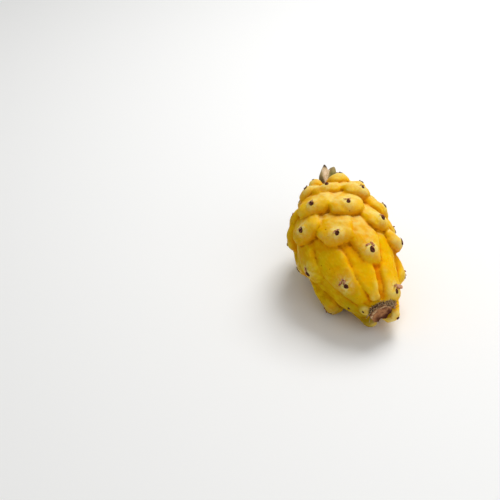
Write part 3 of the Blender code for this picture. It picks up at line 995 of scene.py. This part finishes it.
def fused_tubercles(settings):
    """The core and the tubercles as one closed skin in the fruit's frame, with its two sockets."""
    master = ring_stack("tubercle", RING_SIDES, ROOT_STEPS + NOSE_STEPS)
    pieces = [core()]
    for number, rings, angle, _ in tubercles():
        piece = copy_of(master, "tubercle")
        shape_tubercle(piece, rings, angle, read(FULLNESS, number))
        pieces.append(piece)
    remove(master)
    skin = joined(pieces, "fruit_skin")
    point_outwards(skin)
    apply(skin, "REMESH", mode="VOXEL", voxel_size=settings.voxel)
    opening = stem_place() @ Matrix.Translation(STEM_OPENING)
    cut(skin, stem_place(), -CLEARANCE, STEM_LENGTH, STEM_NECK + ROUND_CLEARANCE, STEM_NECK + STEM_SPREAD)
    cut(skin, opening, STEM_OPENING_FROM, STEM_OPENING_LENGTH, STEM_NECK, STEM_NECK + STEM_OPENING_SPREAD)
    cut(skin, scar_place(), -CLEARANCE, WELL_HEIGHT, SCAR_RADIUS + ROUND_CLEARANCE, SCAR_RADIUS + WELL_FLARE)
    apply(skin, "REMESH", mode="VOXEL", voxel_size=settings.voxel)
    apply(skin, "SMOOTH", factor=0.5, iterations=settings.smoothing)
    return skin


def swell_round_areoles(points, normals, frames, settings):
    """Raise a boss round each areole, with a dimple for the pad and a fold below it."""
    height, radius = settings.boss_height / MM, settings.boss_radius / MM
    rise = np.zeros(len(points))
    for spot, normal, forward, _ in frames:
        near = np.flatnonzero(np.linalg.norm(points - spot, axis=1) < BOSS_REACH * radius)
        away = points[near] - spot
        far = np.linalg.norm(away, axis=1)
        boss = height * np.exp(-(far / radius) ** 2)
        dimple = DIMPLE_DEPTH * height * np.exp(-(far / (DIMPLE_RADIUS * radius)) ** 2)
        past = (far - BOSS_FOLD_RADIUS * radius) / (BOSS_FOLD_WIDTH * radius)
        fold = BOSS_FOLD_DEPTH * height * np.exp(-past ** 2)
        fold *= smooth_step(away @ forward, *(share * radius for share in BOSS_FOLD_FROM))
        rise[near] += (boss - dimple - fold) * smooth_step(normals[near] @ normal, *BOSS_SIDE)
    return points + normals * rise[:, None]


def near_areoles(points, frames, shift, radius):
    """How close each point is to the nearest areole, from 0 far away to 1, past a shift forwards."""
    closest = np.full(len(points), np.inf)
    for spot, _, forward, _ in frames:
        closest = np.minimum(closest, np.linalg.norm(points - (spot + forward * shift), axis=1))
    return np.exp(-(closest / radius) ** 2)


def fold_push(points, normals, edges, settings):
    """How far each point moves outwards, in millimetres, so that narrow and broad folds run deeper."""
    narrow = -settings.crispness * hollowness(points, normals, edges, NARROW_FOLD)
    broad = -settings.broad_crispness * hollowness(points, normals, edges, BROAD_FOLD)
    lower = at_least(BROAD_LEAST, fade(points @ AXIS, *BROAD_PLACE))
    narrow = np.maximum(narrow, -settings.fold_depth / MM)
    return narrow + np.clip(broad, -settings.broad_depth / MM, BROAD_RISE) * lower


def add_lumps(skin, settings):
    """Uneven the skin with clouds, each layer finer and lower than the last."""
    for finer, lower in LUMP_STEPS:
        texture = bpy.data.textures.new("lumps", "CLOUDS")
        texture.noise_scale, texture.noise_depth = settings.lump_size / finer, 1
        height = settings.lump_height / lower
        apply(skin, "DISPLACE", texture=texture, texture_coords="LOCAL", strength=height, mid_level=0.5)


def mark_skin(skin, points, edges, frames, folded):
    """Mark painted shade in the folds, valleys and under the noses, a painted highlight on the ridges and
    the lit side, halos, rust, ripeness with painted shade low down, and the flower end for the finish to
    colour.
    """
    normals = normals_of(skin)
    place, slope = points @ AXIS, normals @ AXIS
    fine, wide = (
        relaxed(hollowness(points, normals, edges, passes)[:, None], edges, softer)[:, 0]
        for passes, softer in (FINE_HOLLOW, WIDE_HOLLOW)
    )
    # Painted highlight where the skin faces the brightest light
    lit_side = smooth_step(normals @ np.array(KEY_LIGHT_SIDE), *LIT_SIDE_SLOPE) * fade(place, *LIT_SIDE_PLACE)
    padded = [frame for number, frame in zip(NUMBERS, frames) if pad_size(number) > HALO_LEAST_PAD]
    rusty = [frames[NUMBERS.index(number)] for number in RUSTY]
    low, high = points.min(axis=0), points.max(axis=0)
    share = (points - low) / (high - low)
    # Stronger towards the bottom and the -Y side: less ripe skin and painted shade
    unripe = UNRIPE_FROM - share[:, 1] - UNRIPE_BY_HEIGHT * share[:, 2]
    set_attributes(
        skin,
        # Painted shade in the folds
        crease=smooth_step(fine, *CREASE_HOLLOW) * at_least(CREASE_LEAST, folded),
        valley=smooth_step(wide, *VALLEY_HOLLOW) * at_least(VALLEY_LEAST, smooth_step(place, *VALLEY_PLACE)),
        ridge=np.maximum(fade(wide, *RIDGE_HOLLOW), LIT_SIDE_SHARE * lit_side),
        halo=near_areoles(points, padded, *HALO),
        rusty=near_areoles(points, rusty, *RUST),
        unripe=smooth_step(unripe, *UNRIPE_SHARE),
        under_nose=smooth_step(slope, *NOSE_SLOPE) * fade(place, *NOSE_PLACE),
        flower_end=smooth_step(share[:, 0], *FLOWER_SHARE),
    )


def build_skin(settings):
    """The fused skin where the fruit lies, with its folds, lumps, bosses and marks."""
    skin = fused_tubercles(settings)
    edges = edges_of(skin)
    points = laid_down(points_of(skin))
    put_points(skin, points)
    normals = normals_of(skin)
    soft = fade(points @ AXIS, *SOFT_PLACE)
    points += (relaxed(points, edges, settings.stem_smoothing) - points) * soft[:, None]
    folded = np.maximum(smooth_step(normals @ AXIS, *FOLD_SLOPE), smooth_step(points @ AXIS, *FOLD_PLACE))
    push = fold_push(points, normals, edges, settings) * at_least(FOLD_LEAST, folded)
    put_points(skin, points + normals * push[:, None])
    add_lumps(skin, settings)
    frames = areole_frames(surface_tree(skin))
    points = above_floor(swell_round_areoles(points_of(skin), normals_of(skin), frames, settings))
    put_points(skin, points)
    mark_skin(skin, points, edges, frames, folded)
    return dressed(skin, skin_finish(settings))


class Nodes:
    """Adds nodes to a new material and joins them up."""

    def __init__(self, name):
        self.made = bpy.data.materials.new(name)
        self.made.use_nodes = True
        self.tree = self.made.node_tree
        self.shader = self.tree.nodes["Principled BSDF"]
        self.place = self.node("ShaderNodeTexCoord").outputs["Object"]

    def node(self, kind, **settings):
        made = self.tree.nodes.new(kind)
        for name, value in settings.items():
            setattr(made, name, value)
        return made

    def put(self, socket, value):
        """Join a socket to another, or set it to a plain value."""
        if isinstance(value, bpy.types.NodeSocket):
            self.tree.links.new(value, socket)
        else:
            socket.default_value = value

    def attribute(self, name):
        return self.node("ShaderNodeAttribute", attribute_name=name).outputs["Fac"]

    def noise(self, size, detail=3.0, roughness=0.5, stretch=None):
        """Soft noise whose features are about this many millimetres wide, from 0 to 1."""
        made = self.node("ShaderNodeTexNoise")
        place = self.place
        if stretch:
            mapping = self.node("ShaderNodeMapping")
            mapping.inputs["Scale"].default_value = stretch
            self.put(mapping.inputs["Vector"], self.place)
            place = mapping.outputs["Vector"]
        self.put(made.inputs["Vector"], place)
        made.inputs["Scale"].default_value = 1 / (size * MM)
        made.inputs["Detail"].default_value = detail
        made.inputs["Roughness"].default_value = roughness
        return made.outputs["Fac"]

    def span(self, value, low, high, to_low=0.0, to_high=1.0):
        """Stretch a range of a value to another range, clamped."""
        made = self.node("ShaderNodeMapRange", interpolation_type="SMOOTHSTEP")
        for name, number in (("Value", value), ("From Min", low), ("From Max", high),
                             ("To Min", to_low), ("To Max", to_high)):
            self.put(made.inputs[name], number)
        return made.outputs["Result"]

    def patches(self, name):
        """Soft patches from the table."""
        grain, strength = PATCHES[name]
        return self.span(self.noise(*grain), *strength)

    def patchy(self, name):
        """A mark broken up by the patches of its own name."""
        return self.times(self.attribute(name), self.patches(name))

    def maths(self, operation, first, second):
        made = self.node("ShaderNodeMath", operation=operation)
        self.put(made.inputs[0], first)
        self.put(made.inputs[1], second)
        return made.outputs["Value"]

    def times(self, first, second):
        return self.maths("MULTIPLY", first, second)

    def mix(self, share, first, second):
        """Blend two colours."""
        made = self.node("ShaderNodeMix", data_type="RGBA")
        self.put(made.inputs[0], share)
        for index, tone in ((6, first), (7, second)):
            self.put(made.inputs[index], tone if isinstance(tone, bpy.types.NodeSocket) else (*tone, 1.0))
        return made.outputs[2]

    def layered(self, tone, *layers):
        """Lay (share, colour) pairs over a tone, one after the other."""
        for share, over in layers:
            tone = self.mix(share, tone, over)
        return tone

    def specks(self, spacing, size, share):
        """Round specks: about one cell in so many, where the cell's own number is low."""
        made = self.node("ShaderNodeTexVoronoi")
        self.put(made.inputs["Vector"], self.place)
        made.inputs["Scale"].default_value = 1 / (spacing * MM)
        near = self.span(made.outputs["Distance"], size * SPECK_CORE / spacing, size / spacing, 1, 0)
        number = self.node("ShaderNodeSeparateColor")
        self.put(number.inputs["Color"], made.outputs["Color"])
        chosen = self.maths("LESS_THAN", number.outputs["Red"], share)
        return self.times(near, chosen)

    def bump(self, bumps):
        """Stack bumps, each one over the last."""
        normal = None
        for grain, depth in bumps:
            made = self.node("ShaderNodeBump")
            made.inputs["Strength"].default_value = 1.0
            made.inputs["Distance"].default_value = depth * MM
            self.put(made.inputs["Height"], self.noise(*grain))
            if normal:
                self.put(made.inputs["Normal"], normal)
            normal = made.outputs["Normal"]
        self.put(self.shader.inputs["Normal"], normal)

    def finish(self, tone, roughness, gloss, *bumps):
        """Set the shader's colour, roughness, gloss and bumps, and hand the material over."""
        for name, value in {"Base Color": tone, "Roughness": roughness, **gloss}.items():
            self.put(self.shader.inputs[name], value)
        self.bump(bumps)
        return self.made


def skin_finish(settings):
    """Waxy yellow skin: golden drifts, painted orange shade in the valleys and under the noses, painted
    shade in the folds and low down, a painted highlight on the ridges, green round the areoles, specks.
    """
    nodes = Nodes("yellow skin")
    unripe = nodes.attribute("unripe")
    ripeness = {name: nodes.span(unripe, *limits) for name, limits in BY_RIPENESS.items()}
    specks = nodes.maths("MAXIMUM", *(nodes.specks(*kind) for kind in SPECKS))
    tone = nodes.layered(
        settings.yellow,
        (nodes.patches("drift"), settings.gold),
        # Less ripe skin with painted shade on the lower side
        (nodes.patchy("unripe"), settings.olive_and_shade),
        (nodes.times(nodes.patches("lime"), ripeness["lime"]), LIME),
        (nodes.patches("streaks"), STREAK),
        (nodes.times(nodes.attribute("flower_end"), ripeness["flower_end"]), GREEN_END),
        # Painted shade in the valleys, warmer and stronger on the riper side
        (nodes.times(nodes.patchy("valley"), ripeness["valley"]),
         nodes.mix(ripeness["ripest"], settings.valley_shade_orange, RIPEST_VALLEY_SHADE)),
        # Painted shade under the noses
        (nodes.patchy("under_nose"), UNDER_NOSE_SHADE),
        (nodes.patchy("halo"), settings.green),
        # Painted shade in the folds; the specks below are real
        (nodes.patchy("crease"), settings.crease),
        (nodes.times(specks, SPECK_STRENGTH), settings.crease),
        # Painted highlight on the ridges and the lit side
        (nodes.times(nodes.patchy("ridge"), ripeness["ridge"]), settings.highlight_cream),
        (nodes.patchy("rusty"), RUSTY_TIP),
    )
    return nodes.finish(tone, nodes.patches("wax"), WAXY, *SKIN_BUMPS)


def felt_finish(settings):
    """Dark woolly felt with a paler worn middle."""
    nodes = Nodes("areole felt")
    tone = nodes.mix(nodes.patches("worn"), settings.maroon, WORN_FELT)
    return nodes.finish(tone, *FELT_SURFACE)


def dried_finish(settings):
    """Papery dried tissue, from straw to rust."""
    nodes = Nodes("dried bract")
    tone = nodes.layered(
        settings.rust,
        (nodes.patches("straw"), settings.straw),
        (nodes.times(nodes.attribute("curled"), CURLED_STRENGTH), CURLED_TONE),
        (nodes.patches("decay"), DECAYED),
    )
    return nodes.finish(tone, *BRACT_SURFACE)


def fibre_finish():
    """Grey and beige dried fibres."""
    nodes = Nodes("dried fibre")
    tone = nodes.mix(nodes.patches("beige"), GREY_FIBRE, BEIGE_FIBRE)
    return nodes.finish(tone, *FIBRE_SURFACE)


def stem_finish(settings):
    """Rind: green below, dried tan and dark towards the tips, and bare flesh on one side."""
    nodes = Nodes("stem rind")
    height = {name: nodes.span(nodes.attribute("height"), *limits) for name, limits in BY_HEIGHT.items()}
    green = nodes.mix(nodes.patches("young"), settings.green, YOUNG_RIND)
    flesh = nodes.layered(
        settings.pale, (nodes.patches("flesh"), OLD_FLESH), (nodes.patches("stain"), STAINED_FLESH)
    )
    tone = nodes.layered(
        green,
        (nodes.patches("dry"), settings.tan),
        (nodes.times(nodes.attribute("shaded"), height["shaded"]), green),
        (height["foot"], settings.dark),
        (nodes.attribute("bare"), flesh),
        (nodes.patchy("charred"), settings.dark),
    )
    return nodes.finish(tone, *RIND_SURFACE)


def scar_finish(settings):
    """Dried brown disc with dark hollows, a rim painted paler on its lit side, and painted shade on the far
    side.
    """
    nodes = Nodes("dried scar")
    tone = nodes.layered(
        settings.brown,
        (nodes.patches("burnt"), settings.dark),
        # Painted shade on the side away from the light
        (nodes.attribute("charred"), settings.dark),
        # The rim, paler only where the light falls: partly its own colour, partly painted light
        (nodes.patchy("rim"), settings.rim),
        (nodes.attribute("foot"), settings.dark),
        (nodes.patches("pits"), SCAR_PIT),
    )
    return nodes.finish(tone, *SCAR_SURFACE)


def build_stem(settings):
    """The cut stem: round where it enters the fruit, winged above, cut to ragged peaks."""
    stem = ring_stack("stem_piece", STEM_SIDES, STEM_RINGS_UP + STEM_RINGS_IN)
    ring, angle = column_places(stem)
    turn = np.degrees(angle % math.tau)
    share = np.clip(ring / (STEM_RINGS_UP - 1), 0, 1) * STEM_RINGS[-1][0]
    shares, *columns = zip(*STEM_RINGS)
    wings, taper, at_cut = (np.interp(share, shares, column) for column in columns)
    off = [(turn - towards + 180) % 360 - 180 for towards, *_ in STEM_WINGS]
    lobes = [np.cos(np.radians(np.clip(angles * 90 / STEM_WING_SPREAD, -90, 90))) ** 2 for angles in off]
    spread, peak, tallest = STEM_WAIST * taper, np.zeros(len(share)), lobes[0]
    for lobe, (_, length, rise, narrowing) in zip(lobes, STEM_WINGS):
        spread = spread + length * lobe * taper ** narrowing
        peak += rise * lobe * at_cut
    reach = STEM_NECK + wings * (spread - STEM_NECK)
    height = STEM_LENGTH * share + peak
    inwards = np.clip((ring - STEM_RINGS_UP + 1) / STEM_RINGS_IN, 0, STEM_FACE_REACH)
    reach = reach * (1 - inwards)
    height = height + (STEM_LENGTH * STEM_HEART - height) * inwards
    height -= STEM_NOTCH * tallest * np.sin(math.pi * inwards)
    points = np.stack((reach * np.cos(angle), reach * np.sin(angle), height), axis=-1)
    put_points(stem, placed(points, stem_place()))
    point_outwards(stem)

    bare_from, bare_until = STEM_BARE[0] + STEM_BARE_SLANT * (STEM_LENGTH - height), STEM_BARE[1]
    bare = smooth_step(turn - bare_from, -STEM_BARE_EDGE, STEM_BARE_EDGE)
    bare *= fade(turn, bare_until - STEM_BARE_EDGE, bare_until + STEM_BARE_EDGE)
    bare *= smooth_step(height, *STEM_BARE_HEIGHT)
    set_attributes(
        stem,
        height=height / (STEM_LENGTH * STEM_TOP),
        bare=np.maximum(bare, STEM_FACE_BARE * smooth_step(inwards, *STEM_FACE_BARE_IN)),
        charred=smooth_step(height, *STEM_CHARRED_HEIGHT) * smooth_step(tallest, *STEM_CHARRED_WING),
        shaded=smooth_step(turn, *STEM_SHADED_FROM) * fade(turn, *STEM_SHADED_UNTIL),
    )
    return dressed(stem, stem_finish(settings))


def scar_angle(direction):
    """The angle in the scar's own frame of a direction where the fruit lies."""
    there = np.array(direction) @ REST_TURN @ np.array(scar_place().to_3x3())
    return math.atan2(there[1], there[0])


def build_scar(settings):
    """The dried disc: a shallow dish with a ragged raised rim."""
    scar = ring_stack("scar_disc", SCAR_SIDES, SCAR_RINGS)
    ring, angle = column_places(scar)
    run = length_along(np.array(SCAR_PROFILE))
    share = np.clip(ring / (SCAR_RINGS - 1), 0, 1) * run[-1]
    out, level = (np.interp(share, run, column) for column in zip(*SCAR_PROFILE))
    wide, tall = SCAR_GRAIN
    spots = np.stack((np.cos(angle) * out * wide, np.sin(angle) * out * wide, level * tall), axis=-1)
    rough, fine = (np.array([noise.noise(spot * times) for spot in spots]) for times in (1, SCAR_FINER))
    reach = SCAR_RADIUS * out * (1 + SCAR_RAGGED * rough * smooth_step(out, *SCAR_RAGGED_OUT))
    relief = SCAR_ROUGH[0] * rough + SCAR_ROUGH[1] * fine
    height = SCAR_HEIGHT * level + relief * smooth_step(level, *SCAR_ROUGH_LEVEL)
    points = np.stack((reach * np.cos(angle), reach * np.sin(angle), height), axis=-1)
    put_points(scar, placed(points, scar_place()))
    point_outwards(scar)
    # Which way each point looks, 1 towards the light: it sets the painted light on the rim and the painted
    # shade
    side = np.cos(angle - scar_angle(UP) - math.radians(SCAR_LIT_TURN))
    rim = smooth_step(height / SCAR_HEIGHT, *SCAR_RIM_HEIGHT) * smooth_step(out, *SCAR_RIM_OUT)
    set_attributes(
        scar,
        rim=rim * smooth_step(side, *SCAR_RIM_SIDE),
        charred=fade(side, *SCAR_SHADE_SIDE) * smooth_step(out, *SCAR_SHADE_OUT),
        foot=fade(level, *SCAR_FOOT_LEVEL) * smooth_step(out, *SCAR_FOOT_OUT),
    )
    return dressed(scar, scar_finish(settings))


def pad_size(number):
    """Pads are smaller near the flower end, where the last tubercles are only scales."""
    return SMALL_PADS.get(number, read(PAD_SIZE, number))


def build_pads(settings, tree):
    """One low oval felt pad at every areole, with a sunk middle."""
    draw = random.Random(SEED + 1)
    master = ring_stack("pad", PAD_SIDES, PAD_RINGS)
    ring, angle = column_places(master)
    share = ring / (PAD_RINGS - 1) * (len(PAD_PROFILE) - 1)
    out, level = (np.interp(share, range(len(PAD_PROFILE)), column) for column in zip(*PAD_PROFILE))
    pads = []
    for number, (spot, normal, forward, side) in zip(NUMBERS, areole_frames(tree)):
        size, longer, slant, *starts, higher = varied(draw, PAD_LIMITS)
        radius = settings.pad_radius / MM * pad_size(number) * size
        waves = (depth * np.sin(count * angle + start) for (count, depth), start in zip(PAD_WOBBLE, starts))
        wobble = 1 + sum(waves)
        across = radius * out * wobble * np.cos(angle)
        along = radius * longer * out * wobble * np.sin(angle)
        turn = np.cos(slant) * across - np.sin(slant) * along, np.sin(slant) * across + np.cos(slant) * along
        rise = settings.pad_rise / MM * higher * level
        pad = copy_of(master, "pad")
        made = spot + np.outer(turn[0], side) + np.outer(turn[1], forward) + np.outer(rise, normal)
        put_points(pad, above_floor(made))
        pads.append(pad)
    remove(master)
    pads = joined(pads, "areole_pads")
    point_outwards(pads)
    return dressed(pads, felt_finish(settings))


def heading_from(forward, side, heading):
    """The direction that a heading in radians has from forward towards the side."""
    return math.cos(heading) * forward + math.sin(heading) * side


def curled_strip(across, along, frame):
    """A longer dried strip that stands off the skin and curls over at its end."""
    spot, normal, forward, side = frame
    length, heading, lift, roll_up, width = CURL
    ahead = heading_from(forward, side, math.radians(heading))
    run = np.linspace(0, 1, CURL_STEPS)
    lean = np.radians(lift - roll_up * run ** CURL_TIGHTENS)
    far, high = (
        np.interp(along, run, np.cumsum(part) * length / CURL_STEPS) for part in (np.cos(lean), np.sin(lean))
    )
    depth, waves = CURL_RAGGED
    wide = across * width / 2 * (1 - CURL_TAPER * along ** 2) * (1 + depth * np.sin(waves * along))
    made = spot - forward * CURL_SETBACK + np.outer(far, ahead)
    return made + np.outer(high - CURL_SUNK, normal) + np.outer(wide, np.cross(normal, ahead))


def bract_scrap(across, along, frame, kind, setback, tree, draw):
    """One thin dried sliver that lies on the skin behind an areole and lifts at its end."""
    spot, normal, forward, side = frame
    back, aside, heading, length, width, lift = kind
    turn, longer, wider, higher, bow, start = varied(draw, SCRAP_LIMITS)
    heading = math.radians(heading + turn)
    ahead, beside = heading_from(forward, side, heading), heading_from(side, -forward, heading)
    foot = spot - forward * back * setback + side * aside
    (run, begin), (depth, waves) = SCRAP_TAPER, SCRAP_RAGGED
    taper = np.sqrt(np.sin(math.pi * np.clip(along * run + begin, 0, 1)))
    taper *= 1 + depth * np.sin(waves * along + start)
    wide = across * taper * (width * wider) / 2 + bow * along ** 2
    height = SCRAP_LEVEL + lift * higher * along ** 2 + SCRAP_CUP * np.abs(across) * taper
    made = []
    for sideways, onwards, rise in zip(wide, along * (length * longer), height):
        ground, _ = drop(tree, foot + beside * sideways + ahead * onwards, normal, SCRAP_DROP)
        made.append(ground + normal * rise)
    return above_floor(made)


def build_bracts(settings, tree):
    """What is left of the bract behind each areole: thin dried slivers that curl off the skin."""
    draw = random.Random(SEED + 2)
    master, across, along = strip(*SCRAP_GRID)
    bracts = []
    for number, frame in zip(NUMBERS, areole_frames(tree)):
        if pad_size(number) < SCRAP_LEAST_PAD:
            continue
        for kind in BIG_SCRAPS if number >= BIG_SCRAPS_FROM else SMALL_SCRAPS:
            bract = copy_of(master, "bract")
            put_points(bract, bract_scrap(across, along, frame, kind, settings.bract_setback, tree, draw))
            bracts.append(bract)
        if number == CURLED:
            curl = copy_of(master, "bract")
            put_points(curl, curled_strip(across, along, frame))
            set_attributes(curl, curled=np.ones(len(along)))
            bracts.append(curl)
    return dried_sheets(master, bracts, "dried_bracts", dried_finish(settings))


def build_fibres(settings, tree):
    """Dried fibres that fan out from the scar's rim over the skin round it."""
    draw = random.Random(SEED + 3)
    place, upper, clump = scar_place(), scar_angle(UP), scar_angle(CLUMP)
    master, across, along = strip(*FIBRE_GRID)
    fibres = []
    for count in range(settings.fibres):
        clumped = count % CLUMP_EVERY == 0
        angle = clump + draw.gauss(0, CLUMP_SPREAD) if clumped else upper + draw.gauss(0, FIBRE_SPREAD)
        start, length, low, rise, sway, width, curl = varied(draw, FIBRE_LIMITS)
        turn = angle + sway * along ** 2
        reach = SCAR_RADIUS + start + length * along
        tangent = np.stack((-np.sin(turn), np.cos(turn)), axis=-1)
        spots = np.stack((np.cos(turn), np.sin(turn)), axis=-1) * reach[:, None]
        spots = spots + tangent * (across * width / 2 * (1 - FIBRE_TAPER * along))[:, None]
        made = placed(np.column_stack((spots, low + rise * along + curl * along ** 2)), place)
        fibre = copy_of(master, "fibre")
        put_points(fibre, above_skin(tree, made, FIBRE_GAP))
        fibres.append(fibre)
    return dried_sheets(master, fibres, "scar_fibres", fibre_finish())


def above_skin(tree, points, gap):
    """Push points that would sink into the skin out to a small gap above it."""
    made = []
    for point in points:
        near, normal, _, _ = tree.find_nearest(Vector(point) * MM)
        off = (Vector(point) * MM - near).dot(normal) / MM
        if off < gap:
            point = np.array(near) / MM + np.array(normal) * gap
        made.append(point)
    return np.array(made)


def finished_skin():
    """The skin that the small pieces sit on."""
    if "fruit_skin" not in bpy.data.objects:
        raise RuntimeError("the skin is made first")
    return surface_tree(bpy.data.objects["fruit_skin"])


class FRUIT_OT_stage(bpy.types.Operator):
    """Pale floor, soft light and the camera of the photograph"""

    bl_idname = "fruit.stage"
    bl_label = "Stage"

    def execute(self, context):
        settings = context.scene.fruit_stage
        deselect()
        bpy.ops.mesh.primitive_plane_add(size=settings.floor_size)
        floor = context.object
        floor.name = "floor"
        nodes = Nodes("floor")
        nodes.shader.inputs["Base Color"].default_value = (*settings.floor_colour, 1)
        nodes.shader.inputs["Roughness"].default_value = FLOOR_ROUGHNESS
        floor.data.materials.append(nodes.made)

        world = bpy.data.worlds.new("soft light")
        world.use_nodes = True
        sky = world.node_tree.nodes["Background"]
        sky.inputs["Color"].default_value = (1, 1, 1, 1)
        sky.inputs["Strength"].default_value = settings.sky
        context.scene.world = world
        for name, size, spot in LIGHTS:
            bpy.ops.object.light_add(type="AREA", location=spot)
            light = context.object
            light.name, light.data.energy, light.data.size = name, getattr(settings, name), size
            light.rotation_euler = (-Vector(spot)).to_track_quat("-Z", "Y").to_euler()

        turn = Matrix.Rotation(math.radians(CAMERA_AZIMUTH), 4, "Z")
        turn = turn @ Matrix.Rotation(math.radians(90 - CAMERA_ELEVATION), 4, "X")
        back = turn @ Vector((0, 0, CAMERA_DISTANCE))
        bpy.ops.object.camera_add()
        camera = context.object
        camera.data.lens = CAMERA_LENS
        roll = Matrix.Rotation(math.radians(CAMERA_ROLL), 4, "Z")
        camera.matrix_world = Matrix.Translation(Vector(CAMERA_AIM) + back) @ turn @ roll
        context.scene.camera = camera
        context.scene.view_settings.view_transform = "Standard"
        return {"FINISHED"}


class FRUIT_OT_skin(bpy.types.Operator):
    """Skin of fused tubercles"""

    bl_idname = "fruit.skin"
    bl_label = "Skin"

    def execute(self, context):
        finish_piece(build_skin(context.scene.fruit_skin), "skin", "fruit")
        return {"FINISHED"}


class FRUIT_OT_pads(bpy.types.Operator):
    """Felt pads at the areoles"""

    bl_idname = "fruit.pads"
    bl_label = "Areole pads"

    def execute(self, context):
        finish_piece(build_pads(context.scene.fruit_dried, finished_skin()), "scar")
        return {"FINISHED"}


class FRUIT_OT_bracts(bpy.types.Operator):
    """Dried bracts behind the areoles"""

    bl_idname = "fruit.bracts"
    bl_label = "Dried bracts"

    def execute(self, context):
        finish_piece(build_bracts(context.scene.fruit_dried, finished_skin()), "scar")
        return {"FINISHED"}


class FRUIT_OT_stem(bpy.types.Operator):
    """Cut stem"""

    bl_idname = "fruit.stem"
    bl_label = "Cut stem"

    def execute(self, context):
        finish_piece(build_stem(context.scene.fruit_stem), "stem", "stem_stub")
        return {"FINISHED"}


class FRUIT_OT_scar(bpy.types.Operator):
    """Dried flower scar"""

    bl_idname = "fruit.scar"
    bl_label = "Flower scar"

    def execute(self, context):
        finish_piece(build_scar(context.scene.fruit_scar), "scar", "flower_scar")
        return {"FINISHED"}


class FRUIT_OT_fibres(bpy.types.Operator):
    """Dried fibres round the flower scar"""

    bl_idname = "fruit.fibres"
    bl_label = "Scar fibres"

    def execute(self, context):
        finish_piece(build_fibres(context.scene.fruit_dried, finished_skin()), "scar")
        return {"FINISHED"}


OPERATORS = (
    FRUIT_OT_stage, FRUIT_OT_skin, FRUIT_OT_pads, FRUIT_OT_bracts, FRUIT_OT_stem, FRUIT_OT_scar,
    FRUIT_OT_fibres,
)
SETTINGS = {
    "fruit_stage": StageSettings, "fruit_skin": SkinSettings, "fruit_dried": DriedSettings,
    "fruit_stem": StemSettings, "fruit_scar": ScarSettings,
}


class FRUIT_PT_panel(bpy.types.Panel):
    """Lists the pieces of the fruit and their settings"""

    bl_idname = "FRUIT_PT_panel"
    bl_label = "Yellow dragon fruit"
    bl_space_type = "VIEW_3D"
    bl_region_type = "UI"
    bl_category = "Fruit"

    def draw(self, context):
        for operator in OPERATORS:
            self.layout.operator(operator.bl_idname)
        for name in SETTINGS:
            box = self.layout.box()
            settings = getattr(context.scene, name)
            for field in settings.bl_rna.properties:
                if field.identifier not in ("rna_type", "name"):
                    box.prop(settings, field.identifier)


CLASSES = (*SETTINGS.values(), *OPERATORS, FRUIT_PT_panel)


def register():
    for made in CLASSES:
        bpy.utils.register_class(made)
    for name, kind in SETTINGS.items():
        setattr(bpy.types.Scene, name, PointerProperty(type=kind))


def unregister():
    for name in SETTINGS:
        delattr(bpy.types.Scene, name)
    for made in reversed(CLASSES):
        bpy.utils.unregister_class(made)


def main():
    register()
    for operator in OPERATORS:
        group, name = operator.bl_idname.split(".")
        getattr(getattr(bpy.ops, group), name)()


if __name__ == "__main__":
    main()
